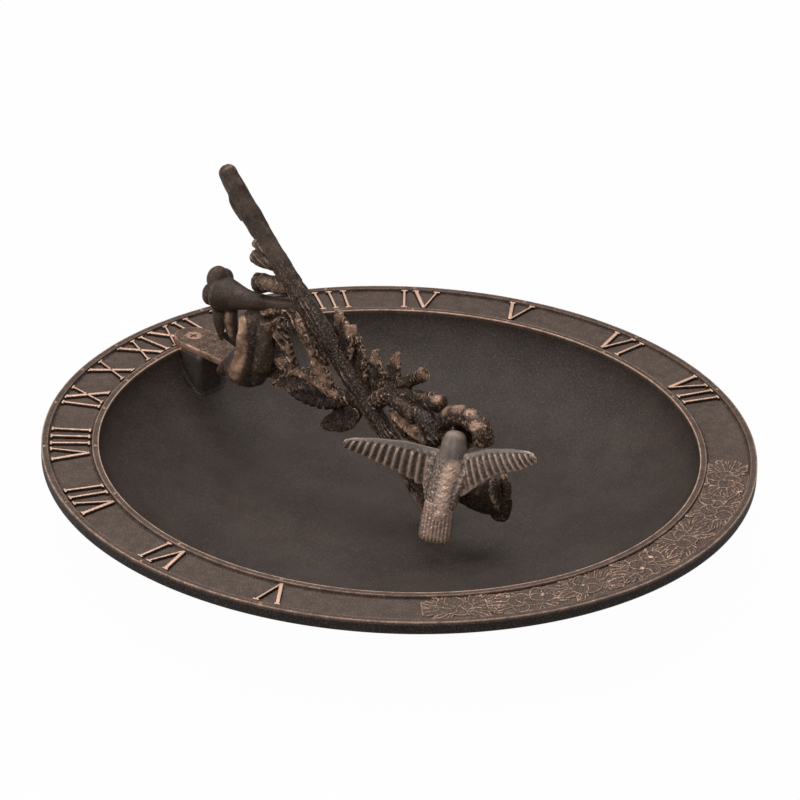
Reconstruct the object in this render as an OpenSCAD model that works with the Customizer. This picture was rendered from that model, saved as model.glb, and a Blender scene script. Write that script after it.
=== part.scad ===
// Sundial bird bath: a cast bowl whose rim is the dial, and a flowering vine that is its gnomon.
// Frame: +X east, +Y north (noon), +Z up. The origin is the centre of the foot ring's bottom face.

/* [Basin] */
// Outer diameter over the rim
outer_d = 425; // [340:1:520]
// Width of the dial rim over both beads
rim_w = 34; // [28:0.5:40]
// Width of each bead
bead_w = 4; // [3:0.5:5]
// Height of the beads over the dial band
bead_h = 2; // [1:0.1:2.5]
// Width of the chamfer along the beads' edges
bead_edge = 0.4; // [0.2:0.1:0.8]
// Depth of the bowl below the dial plane
bowl_depth = 44; // [34:1:60]
// Radius of the nearly flat part of the bowl floor
floor_r = 100; // [80:1:115]
// Rise of the floor from its centre to that radius
floor_rise = 1; // [0.5:0.5:2]
// Thickness of the cast wall
wall = 4; // [3:0.5:6]
// Height of the outer lip, from the dial plane down
skirt_h = 8.2; // [7.4:0.2:12]
// Height of the foot ring below the bowl
foot_h = 8; // [5:0.5:14]
// Outer diameter of the foot ring
foot_od = 150; // [110:1:156]
// Width of the foot ring's flat face
foot_w = 15; // [8:0.5:25]
// Width of the boss that carries the screw
boss_w = 21; // [16:0.5:26]
// How far the boss stands in from the rim's inner edge
boss_reach = 18; // [15:0.5:24]
// Radius of the boss's upright corners
boss_corner_r = 4; // [2:0.5:6]

/* [Dial] */
// Latitude that the hour lines and the style are made for
latitude = 40.5; // [38:0.5:43]
// Gap between the ends of the numerals and the beads
numeral_gap = 1; // [0.5:0.25:4]
// How far the numerals' tops lie below the beads' tops
numeral_drop = 0.1; // [0.1:0.1:0.8]
// Width of a numeral's strokes
stroke_w = 1.8; // [1.2:0.1:2.6]
// Spacing of side-by-side upright strokes
stroke_pitch = 8.6; // [8:0.1:9.5]
// Width of the letters V and X between their stroke ends
letter_w = 13; // [10:0.5:14]
// Height of the leaf garland over the band
garland_relief = 1.1; // [0.8:0.1:1.4]
// Angle that the garland covers either side of south
garland_half_angle = 38; // [30:1:42]
// Radius of the pips that mark the hour lines on the beads
pip_r = 1; // [0.7:0.1:1.4]

/* [Gnomon] */
// Diameter of the stem in its upper half
stem_d_top = 12; // [9:0.5:14]
// Diameter of the stem at its foot
stem_d_foot = 14; // [11:0.5:16]
// Thickness of the plate under the screw
plate_t = 4.5; // [3.5:0.5:6]
// Width of the plate at the screw
plate_w = 24; // [20:0.5:28]
// Thickness of the leaves
leaf_t = 2.6; // [2:0.2:4]
// Thickness of the petals
petal_t = 2.4; // [2:0.2:3.2]
// Radius of the vine's side branches
branch_r = 3.6; // [2.5:0.1:4.5]
// Clearance between the stem's foot and the bowl floor
foot_gap = 0.3; // [0.2:0.1:1]

/* [Hummingbird] */
// Largest diameter of the bird's body
bird_d = 17; // [14:0.5:21]
// Thickness of the wings and the tail
wing_t = 2.4; // [2:0.2:3.4]
// Width of a wing where it leaves the body
wing_chord = 24; // [18:0.5:27]
// Width of the tail fan at its end
tail_w = 19; // [14:0.5:24]

/* [Screw] */
// Diameter of the screw's shank
screw_d = 5; // [4:0.5:6]
// Diameter of the countersunk head
head_d = 9.2; // [8:0.1:11]
// Height of the cone under the head
head_h = 2.4; // [2:0.1:3]
// Length of the screw from the top of its head
screw_len = 12; // [10:0.5:13.5]
// East offset of the screw from the meridian, as installed
screw_x = 2; // [-4:0.5:4]
// Gap between the screw and its seat or bore
screw_gap = 0.05; // [0.02:0.01:0.1]
// Gap between the shank and the plate's hole
shank_gap = 0.3; // [0.1:0.05:0.5]

/* [Hidden] */
$fn = 96;
outer_r = outer_d / 2;
rim_in = outer_r - rim_w;
band_in = rim_in + bead_w;
band_out = outer_r - bead_w;
dial_z = bowl_depth + wall + foot_h;
band_z = dial_z - bead_h;
floor_z = dial_z - bowl_depth;
numeral_r = (band_in + band_out) / 2;
numeral_h = band_out - band_in - 2 * numeral_gap;
numeral_relief = bead_h - numeral_drop;
// How far past its hour line each numeral is cast on the real dial, in degrees, from the morning V on
numeral_shift = [-0.6, -1.1, 0, 1.2, 3.2, 2.5, 2.5, 1.9, 1.5, 0.9, 0.3, 0.8, 0, -0.4, -1.4];
wall_power = 1.8;
// The gnomon is drawn for a bowl whose mouth has this radius and is scaled to the real one
drawn_rim = 178.5;
drawn_latitude = 40.5;
gnomon_scale = rim_in / drawn_rim;
screw_y = rim_in + 0.5;
plate_front_y = 126 * gnomon_scale;
bore_depth = screw_len - plate_t + 1.5;
// The stem's foot reaches this far from the centre, where the floor is a little higher
foot_reach = 56 * gnomon_scale;
foot_z = floor_z + floor_rise * foot_reach / floor_r + foot_gap;

function unit(v) = v / norm(v);

// Rise of the bowl's wall at a share of its reach, both from 0 to 1
function wall_curve(t) = 1 - pow(1 - pow(t, wall_power), 1 / wall_power);
function inner_z(r) =
  floor_z + floor_rise + (bowl_depth - bead_h - floor_rise) * wall_curve((r - floor_r) / (rim_in - floor_r));
function under_z(r) =
  floor_z + floor_rise - wall
  + (bowl_depth - bead_h - floor_rise) * wall_curve((r - floor_r) / (band_in - floor_r));
function under_floor_z(r) = foot_h + floor_rise * r / floor_r;
function bead_line(r_mid) =
  let (w = bead_w / 2, c = bead_edge)
  [[r_mid - w, band_z], [r_mid - w, dial_z - c], [r_mid - w + c, dial_z],
   [r_mid + w - c, dial_z], [r_mid + w, dial_z - c], [r_mid + w, band_z]];
function hour_angle(h) = atan2(sin(latitude) * sin(15 * h), cos(15 * h));

// Puts the local +Z axis of its children at p, pointing to q
module aim(p, q) {
  v = q - p;
  translate(p) rotate([0, acos(v.z / norm(v)), atan2(v.y, v.x)]) children();
}

// Puts the local X axis along xdir, with the local Y axis as near to ydir as it can be
module place(o, xdir, ydir) {
  ax = unit(xdir);
  az = unit(cross(ax, ydir));
  ay = cross(az, ax);
  translate(o) rotate([atan2(ay.z, az.z), -asin(ax.z), atan2(ax.y, ax.x)]) children();
}

// A run of tapering limbs with a rounded knuckle at each point
module limb_chain(points, radii, knuckle = 1.04) {
  for (i = [0:len(points) - 2])
    aim(points[i], points[i + 1])
      cylinder(h = norm(points[i + 1] - points[i]), r1 = radii[i], r2 = radii[i + 1], $fn = 48);
  for (i = [0:len(points) - 1])
    translate(points[i]) sphere(r = radii[i] * knuckle, $fn = 48);
}

// What follows the style line, about the dial's centre. Heights inside are from the dial plane.
module gnomon_frame() {
  translate([0, 0, dial_z]) rotate([latitude - drawn_latitude, 0, 0]) scale(gnomon_scale) children();
}

// Half the width of a toothed leaf at a share of its length
function leaf_half(t, w, tooth) = max(0.9, w / 2 * pow(sin(180 * pow(t, 0.8)), 0.8) * (tooth ? 1 : 0.8));
function leaf_side(l, w, teeth, side) =
  [for (i = [0:2 * teeth]) let (t = i / (2 * teeth)) [l * t, side * leaf_half(t, w, i % 2 == 1)]];
function reversed(points) = [for (i = [len(points) - 1:-1:0]) points[i]];
function leaf_outline(l, w, teeth) = concat(leaf_side(l, w, teeth, -1), reversed(leaf_side(l, w, teeth, 1)));

module leaf(base, tip, w, teeth = 6, across = [0, -0.6, 0.8]) {
  place(base, tip - base, across)
    linear_extrude(leaf_t, center = true) polygon(leaf_outline(norm(tip - base), w, teeth));
}

// A trumpet flower from base to mouth: a slim tube that widens, with turned-back lobes round its lip
module trumpet(base, mouth, r_base, r_mouth, lobe_r = 0, lobe_tilt = 25, lobes = 5) {
  l = norm(mouth - base);
  spread = r_mouth - r_base;
  lip_r = r_mouth * 1.2;
  outer = [
    [r_base, 0], [r_base + spread * 0.08, 0.3 * l], [r_base + spread * 0.35, 0.55 * l],
    [r_base + spread * 0.75, 0.8 * l], [r_mouth, 0.93 * l], [lip_r, l]
  ];
  inner = [
    [lip_r - petal_t * 0.7, l], [r_mouth - petal_t, 0.9 * l],
    [r_base + spread * 0.6 - petal_t, 0.76 * l], [0, 0.62 * l]
  ];
  aim(base, mouth) {
    rotate_extrude($fn = 48) polygon(concat([[0, 0]], outer, inner));
    if (lobe_r > 0)
      for (k = [0:lobes - 1])
        rotate([0, 0, 360 * k / lobes + 18]) translate([lip_r - petal_t * 0.5, 0, l - petal_t * 0.6])
          rotate([0, lobe_tilt, 0]) translate([lobe_r * 0.6, 0, 0])
            cylinder(h = petal_t, r = lobe_r, center = true, $fn = 32);
  }
}

module boss() {
  front = rim_in - boss_reach;
  back = rim_in + bead_w;
  steps = 6;
  seat_line = [for (i = [0:steps]) let (y = front + (back - front) * i / steps)
    [y, y < rim_in ? (inner_z(y) + under_z(y)) / 2 : band_z - wall / 2]];
  intersection() {
    rotate([90, 0, 90]) linear_extrude(boss_w, center = true)
      polygon(concat(seat_line, [[back, dial_z], [front, dial_z]]));
    union() {
      translate([-boss_w / 2, front + boss_corner_r, 0]) cube([boss_w, boss_reach + bead_w, dial_z]);
      translate([-boss_w / 2 + boss_corner_r, front, 0])
        cube([boss_w - 2 * boss_corner_r, boss_reach, dial_z]);
      for (side = [-1, 1])
        translate([side * (boss_w / 2 - boss_corner_r), front + boss_corner_r, 0])
          cylinder(h = dial_z, r = boss_corner_r, $fn = 32);
    }
  }
}

module basin() {
  under_steps = [12:-1:0];
  profile = concat(
    [[0, floor_z]],
    [for (i = [0:13]) let (r = floor_r + (rim_in - floor_r) * sin(90 * i / 14)) [r, inner_z(r)]],
    bead_line(rim_in + bead_w / 2),
    bead_line(outer_r - bead_w / 2),
    [[outer_r, dial_z - skirt_h + 1], [outer_r - 1, dial_z - skirt_h],
     [band_out, dial_z - skirt_h], [band_out, band_z - wall]],
    [for (i = under_steps) let (r = floor_r + (band_in - floor_r) * sin(90 * i / 12)) [r, under_z(r)]],
    [[foot_od / 2, under_floor_z(foot_od / 2)], [foot_od / 2, 0], [foot_od / 2 - foot_w, 0],
     [foot_od / 2 - foot_w, under_floor_z(foot_od / 2 - foot_w)], [0, foot_h]]
  );
  color("#4b433d") difference() {
    union() {
      rotate_extrude($fn = 180) polygon(profile);
      boss();
    }
    translate([screw_x, screw_y, dial_z - bore_depth])
      cylinder(h = bore_depth + 1, d = screw_d + 2 * screw_gap, $fn = 48);
  }
}

// A straight stroke of a letter between two points
module stroke(p, q, w = stroke_w) {
  v = q - p;
  translate(p) rotate(atan2(v.y, v.x)) translate([0, -w / 2]) square([norm(v), w]);
}

// A serif centred on a stroke's end
module serif(x, y, w) {
  translate([x - w / 2, y - stroke_w * 0.35]) square([w, stroke_w * 0.7]);
}

module letter(c) {
  h = numeral_h / 2 - stroke_w * 0.35;
  w = letter_w / 2;
  if (c == "I") {
    stroke([0, -h], [0, h]);
    serif(0, h, 4.8);
    serif(0, -h, 4.8);
  }
  if (c == "V") {
    stroke([-w, h], [0, -h], stroke_w * 1.5);
    stroke([w, h], [0, -h], stroke_w * 0.8);
    serif(-w, h, 4.4);
    serif(w, h, 4.4);
  }
  if (c == "X") {
    stroke([-w, h], [w, -h], stroke_w * 1.5);
    stroke([w, h], [-w, -h], stroke_w * 0.8);
    for (sx = [-1, 1])
      for (sy = [-1, 1])
        serif(sx * w, sy * h, 4.4);
  }
}

function letter_pitch(c) = c == "I" ? stroke_pitch : letter_w + 4.5;
function run_to(name, n) = n == 0 ? 0 : run_to(name, n - 1) + letter_pitch(name[n - 1]);

module hour_numerals() {
  names = ["V", "VI", "VII", "VIII", "IX", "X", "XI", "XII", "I", "II", "III", "IV", "V", "VI", "VII"];
  color("#a77d68") for (i = [0:14]) {
    name = names[i];
    half = run_to(name, len(name)) / 2;
    for (k = [0:len(name) - 1]) {
      along = run_to(name, k) + letter_pitch(name[k]) / 2 - half;
      rotate([0, 0, -hour_angle(i - 7) - numeral_shift[i] - along / numeral_r * 180 / PI])
        translate([0, numeral_r, band_z]) linear_extrude(numeral_relief) letter(name[k]);
    }
  }
}

module hour_pips() {
  color("#a77d68") for (h = [-7:7])
    if (h != 0)
      for (r = [rim_in + bead_w / 2, outer_r - bead_w / 2])
        rotate([0, 0, -hour_angle(h)]) translate([0, r, dial_z - pip_r * 0.4]) sphere(r = pip_r, $fn = 24);
}

// A five-petalled blossom lying flat
module blossom(petal_r) {
  for (k = [0:4])
    rotate(72 * k) translate([petal_r * 1.15, 0]) circle(r = petal_r, $fn = 32);
  circle(r = petal_r * 0.6, $fn = 32);
}

// Blossoms along the band, with two long leaves lying side by side between them and one past each end
module leaf_garland() {
  blossoms = 6;
  step = 2 * garland_half_angle / blossoms;
  petal_r = (band_out - band_in) * 0.175;
  blossom_r = petal_r * 2.15;
  leaf_w = (band_out - band_in) * 0.4;
  row = (band_out - band_in) * 0.23;
  leaf_l = numeral_r * step * PI / 180 - 2.6 * blossom_r;
  color("#a77d68") {
    for (i = [0:blossoms - 1])
      rotate([0, 0, -garland_half_angle + step * (i + 0.5)]) translate([0, -numeral_r, band_z])
        rotate([0, 0, 40 * i]) linear_extrude(garland_relief) blossom(petal_r);
    for (i = [0:blossoms], side = [-1, 1])
      if (i > 0 && i < blossoms || (i == 0) == (side > 0))
        rotate([0, 0, -garland_half_angle + step * i]) translate([0, -numeral_r + side * row, band_z])
          rotate([0, 0, side > 0 ? 180 : 0]) translate([-leaf_l / 2 + 2 * side, 0, 0])
            linear_extrude(garland_relief) polygon(leaf_outline(leaf_l, leaf_w, 6));
  }
}

// Axis of the stem, from its tip down to where it meets the bowl's floor
stem_points = [
  [0, 150, 125.5], [0, 142, 117], [0, 130, 105], [0, 116, 92.5], [0, 92, 71], [0, 60, 44.5],
  [0, 36, 23.5], [0, 16, 6.5], [0, 0, -7], [0, -16, -23], [0, -30, -38]
];
function stem_r(i) =
  let (top = stem_d_top / 2, foot = stem_d_foot / 2)
  [top * 0.9, top * 1.12, top * 1.08, top * 0.94, top, (top + foot) / 2, foot, foot, foot, foot, foot][i];

// A cube that fills everything below the foot's clearance over the floor
module below_foot() {
  translate([-outer_r, -outer_r, -outer_r]) cube([outer_d, outer_d, outer_r + foot_z]);
}

module gnomon_stem() {
  color("#5b4d45") difference() {
    gnomon_frame() {
      limb_chain(stem_points, [for (i = [0:len(stem_points) - 1]) stem_r(i)]);
      // The foot runs on steeply into the floor and is cut there
      aim([0, -30, -38], [0, -44, -66]) cylinder(h = 31, r = stem_d_foot / 2, $fn = 48);
      // Flap of bark under the tip
      limb_chain([[-3, 146, 114], [-4.5, 138, 106.5], [-4, 130, 99]], [1.8, 3, 2.2]);
    }
    below_foot();
  }
}

module mounting_plate() {
  tip_w = 13;
  back_r = plate_w / 2;
  color("#5f534b") difference() {
    translate([0, 0, dial_z]) union() {
      translate([screw_x, screw_y, 0]) cylinder(h = plate_t, r = back_r, $fn = 64);
      linear_extrude(plate_t) polygon([
        [screw_x - back_r, screw_y], [screw_x - back_r, screw_y - 6],
        [-2 - tip_w / 2, plate_front_y], [-2 + tip_w / 2, plate_front_y],
        [screw_x + back_r, screw_y - 12], [screw_x + back_r, screw_y]
      ]);
    }
    translate([screw_x, screw_y, dial_z - 1])
      cylinder(h = plate_t + 2, d = screw_d + 2 * shank_gap, $fn = 48);
    translate([screw_x, screw_y, dial_z + plate_t - head_h])
      cylinder(h = head_h, r1 = screw_d / 2 + screw_gap, r2 = head_d / 2 + screw_gap, $fn = 48);
  }
}

module side_branches() {
  color("#54463e") gnomon_frame() {
    // From the low flower along under the stem and back into it
    limb_chain([[-5, 114, 26], [-3, 92, 16], [-2, 72, 18], [-2, 50, 14], [0, 34, 16]],
      [branch_r * 1.1, branch_r, branch_r * 1.15, branch_r * 1.2, branch_r * 1.3]);
    // The upright stemlet up to the fan leaf
    limb_chain([[-3, 90, 17], [-3, 92, 34], [-4, 100, 46]], [branch_r * 0.75, branch_r * 0.65, branch_r * 0.7]);
    // The pale twig beside the high flower
    limb_chain([[-5, 116, 44], [-5, 102, 52], [0, 80, 58]], [branch_r * 0.7, branch_r * 0.75, branch_r * 0.9]);
    // The root of the bud cluster on the east side
    limb_chain([[0, 24, 13], [4, 15, 26], [3, 6, 24]], [branch_r * 1.5, branch_r * 1.6, branch_r * 1.6]);
    // The shoot that carries the bird's flower and the end flower
    limb_chain([[0, 2, -3], [2, -18, -2], [1, -32, -8], [0, -42, -11]],
      [branch_r * 1.3, branch_r * 1.4, branch_r * 1.4, branch_r * 1.5]);
    limb_chain([[2, -18, -2], [4, -24, 14]], [branch_r * 1.35, branch_r * 1.3]);
  }
}

module high_trumpet_flower() {
  color("#564840") gnomon_frame() {
    trumpet([0, 82, 61], [-9, 151, 48], 3.6, 11, 5.5, 50);
    // The long lobe that hangs down to the plate
    leaf([-9, 148, 38], [-8, 142, 10], 13, 3, [0, 1, 0.2]);
  }
}

module low_trumpet_flower() {
  color("#564840") gnomon_frame() {
    limb_chain([[-6, 126, 3.5], [-6, 124, 18], [-6, 119, 36], [-6, 116, 46]], [8, 10.5, 12, 9.5]);
    // Curled rim beside the plate
    limb_chain([[-12, 130, 14], [-13, 127, 30], [-12, 122, 40]], [3, 4, 3]);
  }
}

module end_trumpet_flower() {
  color("#564840") gnomon_frame() trumpet([0, -44, -11], [13, -76, -10], 5, 8.5, 6, 10);
}

module bird_trumpet_flower() {
  color("#564840") gnomon_frame() {
    trumpet([4, -24, 15], [-1, -54, 27], 5.5, 13);
    // The thick rolled lip that arches over the bird's head
    limb_chain([[0, -36, 19], [-1, -39, 33], [-2, -49, 41], [-2, -61, 43], [-2, -69, 38], [-2, -70, 28]],
      [4.4, 5, 5.2, 5.2, 5.4, 4.8]);
  }
}

module upper_buds() {
  color("#564840") gnomon_frame() {
    limb_chain([[0, 104, 80], [-5, 112, 81.5], [-6, 118, 83]], [3.6, 3.8, 4.4]);
    limb_chain([[0, 106, 84], [-6, 119, 91.5]], [2.6, 2.4]);
    limb_chain([[0, 92, 70], [-5, 106, 69], [-7, 115, 66.5]], [4.6, 5.4, 6.4]);
  }
}

module cluster_buds() {
  color("#5f5048") gnomon_frame() {
    limb_chain([[4, 15, 28], [7, 2, 38], [8, -10, 47]], [3.4, 3.8, 4.2]);
    limb_chain([[4, 12, 26], [4, -12, 32], [4, -27, 36]], [4.2, 5, 6.2]);
    limb_chain([[2, 8, 24], [0, -8, 27], [-3, -22, 28]], [5.2, 6.8, 5.6]);
    limb_chain([[0, -16, 28], [-4, -28, 20]], [5.4, 6.6]);
  }
}

module fan_leaf() {
  color("#6a5a4e") gnomon_frame() leaf([-5, 112, 46], [-5, 94, 30], 21, 5, [0, 0.6, 0.8]);
}

module stem_leaf() {
  color("#4a3e38") gnomon_frame() leaf([-2, 86, 57], [-4, 66, 34], 17, 5, [0, 0.6, 0.8]);
}

module low_leaf() {
  color("#4a3e38") gnomon_frame() leaf([-2, 73, 17], [-8, 99, 3], 15, 4, [0.35, 0.5, 0.8]);
}

module shaded_leaf() {
  color("#453a35") gnomon_frame() leaf([-4, 84, 19], [-5, 118, 2], 19, 5, [0.25, 0.5, 0.8]);
}

module long_serrated_leaf() {
  color("#5a4b3f") gnomon_frame() leaf([-2, 45, 13], [-10, 83, -3], 17, 8, [0.5, 0.4, 0.8]);
}

module broad_leaf() {
  color("#4a3e38") gnomon_frame() leaf([-1, 28, 12], [-11, 58, -5], 19, 4, [0.3, 0.5, 0.8]);
}

module spiky_leaf() {
  color("#6a5a4e") gnomon_frame() leaf([-3, 56, 16], [-4, 69, 36], 17, 5, [0, -0.8, 0.6]);
}

module east_leaves() {
  color("#5f5048") gnomon_frame() {
    leaf([2, 46, 36], [8, 61, 63], 15, 5, [0, -0.8, 0.6]);
    leaf([3, 34, 24], [8, 49, 56], 15, 6, [0, -0.8, 0.6]);
    leaf([4, 24, 18], [9, 31, 46], 15, 6, [0, -0.9, 0.3]);
    leaf([5, 16, 26], [10, 14, 51], 13, 5, [0.2, -0.9, 0]);
  }
}

module cluster_leaf() {
  color("#6a5a4e") gnomon_frame() leaf([-2, 6, 22], [-4, -26, 12], 18, 5, [0, 0.3, 0.9]);
}

bird_neck = [-15.5, -57.5, 21];
bird_rump = [-27, -59, -13];

module hummingbird_body() {
  r = bird_d / 2;
  l = norm(bird_neck - bird_rump);
  color("#8b6d5d") gnomon_frame() {
    aim(bird_rump, bird_neck)
      rotate_extrude($fn = 48) polygon([
        [0, -4], [r * 0.5, -3.4], [r * 0.74, 0], [r * 0.86, l * 0.2], [r * 0.97, l * 0.42], [r, l * 0.62],
        [r * 0.96, l * 0.8], [r * 0.84, l * 0.95], [r * 0.7, l * 1.06], [0, l * 1.12]
      ]);
    translate([-13, -57, 29]) sphere(r = r * 0.78, $fn = 48);
  }
}

module hummingbird_bill() {
  color("#6d5547") gnomon_frame()
    aim([-11, -55, 31], [2, -42, 25]) cylinder(h = 17, r1 = 2.4, r2 = 0.8, $fn = 24);
}

// A spread wing: a strong leading edge with a row of feathers behind it
module wing(shoulder, tip, chord_dir) {
  l = norm(tip - shoulder);
  feathers = 9;
  trailing = [for (i = [0:2 * feathers]) let (t = i / (2 * feathers))
    [l * (1 - t), -(5 + (wing_chord - 5) * pow(t, 0.75)) + (i % 2 == 0 ? 1.2 : 0)]];
  place(shoulder, tip - shoulder, -chord_dir) {
    linear_extrude(wing_t, center = true)
      polygon(concat([[0, 2], [l * 0.35, 4], [l * 0.7, 2.5], [l, -1.5]], trailing));
    limb_chain([[0, 0, 0], [l * 0.36, 2, 0], [l * 0.7, 1, 0]], [2.6, 2.2, 1.6]);
  }
}

module left_wing() {
  color("#7d6a5e") gnomon_frame() wing([-17, -49, 18], [-45, 1, 18], [-0.25, 0.12, -1]);
}

module right_wing() {
  color("#7d6a5e") gnomon_frame() wing([-14, -64, 18], [2, -106, 33], [-0.3, -0.1, -1]);
}

module hummingbird_tail() {
  color("#8b6d5d") gnomon_frame()
    place([-27, -59.5, -11], [-4.5, -1.5, -18.5], [0.59, -0.78, -0.18])
      linear_extrude(wing_t, center = true) polygon([
        [0, -tail_w * 0.28], [13, -tail_w * 0.4], [19, -tail_w / 2], [20.5, -tail_w * 0.34], [20, -tail_w * 0.17],
        [21.5, 0], [20, tail_w * 0.17], [20.5, tail_w * 0.34], [19, tail_w / 2], [13, tail_w * 0.4],
        [0, tail_w * 0.28]
      ]);
}

module gnomon_screw() {
  head_top = plate_t;
  recess_w = 1.3;
  recess_l = head_d * 0.52;
  recess_depth = 1.7;
  color("#a4745c") translate([screw_x, screw_y, dial_z]) difference() {
    union() {
      translate([0, 0, head_top - head_h]) cylinder(h = head_h, d1 = screw_d, d2 = head_d, $fn = 48);
      translate([0, 0, head_top - screw_len]) cylinder(h = screw_len - head_h, d = screw_d, $fn = 48);
    }
    translate([-recess_l / 2, -recess_w / 2, head_top - recess_depth]) cube([recess_l, recess_w, recess_depth + 1]);
    translate([-recess_w / 2, -recess_l / 2, head_top - recess_depth]) cube([recess_w, recess_l, recess_depth + 1]);
  }
}

basin();
hour_numerals();
hour_pips();
leaf_garland();
gnomon_stem();
mounting_plate();
side_branches();
high_trumpet_flower();
low_trumpet_flower();
end_trumpet_flower();
bird_trumpet_flower();
upper_buds();
cluster_buds();
fan_leaf();
stem_leaf();
shaded_leaf();
low_leaf();
long_serrated_leaf();
broad_leaf();
spiky_leaf();
east_leaves();
cluster_leaf();
hummingbird_body();
hummingbird_bill();
left_wing();
right_wing();
hummingbird_tail();
gnomon_screw();
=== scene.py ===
"""Looks of the sundial bird bath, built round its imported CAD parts.

Lengths are in millimetres, and become metres where a mesh is made."""
import math

import bmesh
import bpy
import numpy as np
from mathutils import Matrix, Vector


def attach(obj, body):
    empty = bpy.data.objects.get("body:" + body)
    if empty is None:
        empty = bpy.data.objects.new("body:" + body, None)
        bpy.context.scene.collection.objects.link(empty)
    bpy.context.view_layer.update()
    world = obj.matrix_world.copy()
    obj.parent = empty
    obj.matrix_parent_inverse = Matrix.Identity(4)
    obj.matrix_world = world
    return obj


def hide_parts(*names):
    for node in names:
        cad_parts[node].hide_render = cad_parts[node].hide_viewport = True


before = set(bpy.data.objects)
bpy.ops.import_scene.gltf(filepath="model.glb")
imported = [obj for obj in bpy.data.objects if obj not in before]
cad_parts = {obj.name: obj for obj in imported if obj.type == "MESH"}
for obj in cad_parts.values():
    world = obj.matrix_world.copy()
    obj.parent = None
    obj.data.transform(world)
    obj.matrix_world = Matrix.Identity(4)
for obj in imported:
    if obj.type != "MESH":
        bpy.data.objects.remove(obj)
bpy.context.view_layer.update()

MM = 0.001
TAU = 2 * math.pi

# Sizes of the basin, plate and screw, as in the part's source
OUTER_R = 212.5
RIM_IN = 178.5
BAND_IN = 182.5
BAND_OUT = 208.5
DIAL_Z = 56.0
BAND_Z = 54.0
FLOOR_Z = 12.0
FLOOR_R = 100.0
FLOOR_RISE = 1.0
WALL = 4.0
WALL_POWER = 1.8
BEAD_W = 4.0
BEAD_H = 2.0
SKIRT_H = 8.2
FOOT_H = 8.0
FOOT_OUT = 75.0
FOOT_IN = 60.0
NUMERAL_R = 195.5
NUMERAL_H = 24.0
STROKE_W = 1.8
STROKE_PITCH = 8.6
LETTER_W = 13.0
LATITUDE = 40.5
BOSS_W = 21.0
BOSS_FRONT = RIM_IN - 18
BOSS_CORNER = 4.0
BOSS_SOFT = 0.9
BOSS_SUNK = 1.5
BOSS_FILLET_W = 1.6
BOSS_FILLET_H = 2.5
SCREW_X = 2.0
SCREW_Y = 179.0
PLATE_T = 4.5
PLATE_R = 12.0
BORE_R = 2.55
BORE_DEPTH = 9.0
HEAD_R = 4.6
HEAD_H = 2.4
SHANK_R = 2.5
SCREW_LENGTH = 12.0
FOOT_OF_STEM_Z = 12.86


# Vectors, lines and random fields

def unit(v):
    v = np.asarray(v, float)
    return v / np.linalg.norm(v)


def spread(values, low, high):
    """0 below low, 1 above high and a smooth ramp between them."""
    t = np.clip((values - low) / (high - low), 0, 1)
    return t * t * (3 - 2 * t)


FIELD_CELLS = 32


def rough(points, cell, seed):
    """A smooth random field from -1 to 1, with bumps about one cell apart."""
    table = np.random.default_rng(seed).uniform(-1, 1, (FIELD_CELLS,) * 3)
    place = np.asarray(points, float) / np.asarray(cell, float)
    corner = np.floor(place).astype(int)
    part = place - corner
    part = part * part * (3 - 2 * part)
    total = np.zeros(len(place))
    for step in np.ndindex(2, 2, 2):
        weight = np.prod(np.where(step, part, 1 - part), axis=1)
        i, j, k = ((corner + step) % FIELD_CELLS).T
        total += weight * table[i, j, k]
    return total


def smooth_line(points, step):
    """A smooth curve through the points, and how far along their list each of its own points is."""
    points = np.asarray(points, float)
    padded = np.vstack([2 * points[0] - points[1], points, 2 * points[-1] - points[-2]])
    line, place = [], []
    for i in range(len(points) - 1):
        a, b, c, d = padded[i:i + 4]
        count = max(1, round(np.linalg.norm(c - b) / step))
        t = np.arange(count)[:, None] / count
        line.append(0.5 * (2 * b + (c - a) * t + (2 * a - 5 * b + 4 * c - d) * t ** 2
                           + (3 * b - a - 3 * c + d) * t ** 3))
        place.append(i + t[:, 0])
    return np.vstack(line + [points[-1:]]), np.concatenate(place + [[len(points) - 1.0]])


def frames(line, side):
    """Direction, side and third axis at each point of a line, carried along it without twist."""
    ahead = np.gradient(line, axis=0)
    ahead /= np.linalg.norm(ahead, axis=1)[:, None]
    across = np.empty_like(line)
    last = unit(np.cross(ahead[0], side))
    for i, d in enumerate(ahead):
        last = unit(last - d * (last @ d))
        across[i] = last
    return ahead, across, np.cross(ahead, across)


def placed(origin, xdir, ydir):
    """Axes with x along xdir, y as near to ydir as it can be, and their origin."""
    x = unit(xdir)
    z = unit(np.cross(x, ydir))
    return np.asarray(origin, float), np.array([x, np.cross(z, x), z])


def to_world(points, place):
    origin, axes = place
    return origin + np.asarray(points, float) @ axes


def vine(*points):
    """Points given from the dial's centre, as points of the part."""
    return np.array(points, float) + [0, 0, DIAL_Z]


def spot(*point):
    """One point given from the dial's centre, as a point of the part."""
    return vine(point)[0]


# Skins: points and faces

class Skin:
    """Closed skins that make up one piece."""

    def __init__(self):
        self.points = []
        self.faces = []
        self.count = 0

    def add(self, points, faces):
        self.faces += [tuple(v + self.count for v in f) for f in faces]
        self.points.append(np.asarray(points, float))
        self.count += len(points)
        return self

    def all_points(self):
        return np.vstack(self.points)


def ring_faces(rings, sides):
    """Quads between rings of points that close on themselves."""
    faces = []
    for a in range(0, (rings - 1) * sides, sides):
        for j in range(sides):
            k = (j + 1) % sides
            faces.append((a + j, a + k, a + sides + k, a + sides + j))
    return faces


def closed_rings(rings):
    """Points and faces of a skin through rings of points, with a pole at each end."""
    rings = np.asarray(rings, float)
    count, sides = rings.shape[:2]
    points = np.vstack([rings.reshape(-1, 3), rings[0].mean(0), rings[-1].mean(0)])
    faces = ring_faces(count, sides)
    low, high = count * sides, count * sides + 1
    last = (count - 1) * sides
    for j in range(sides):
        k = (j + 1) % sides
        faces.append((low, k, j))
        faces.append((high, last + j, last + k))
    return points, faces


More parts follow.
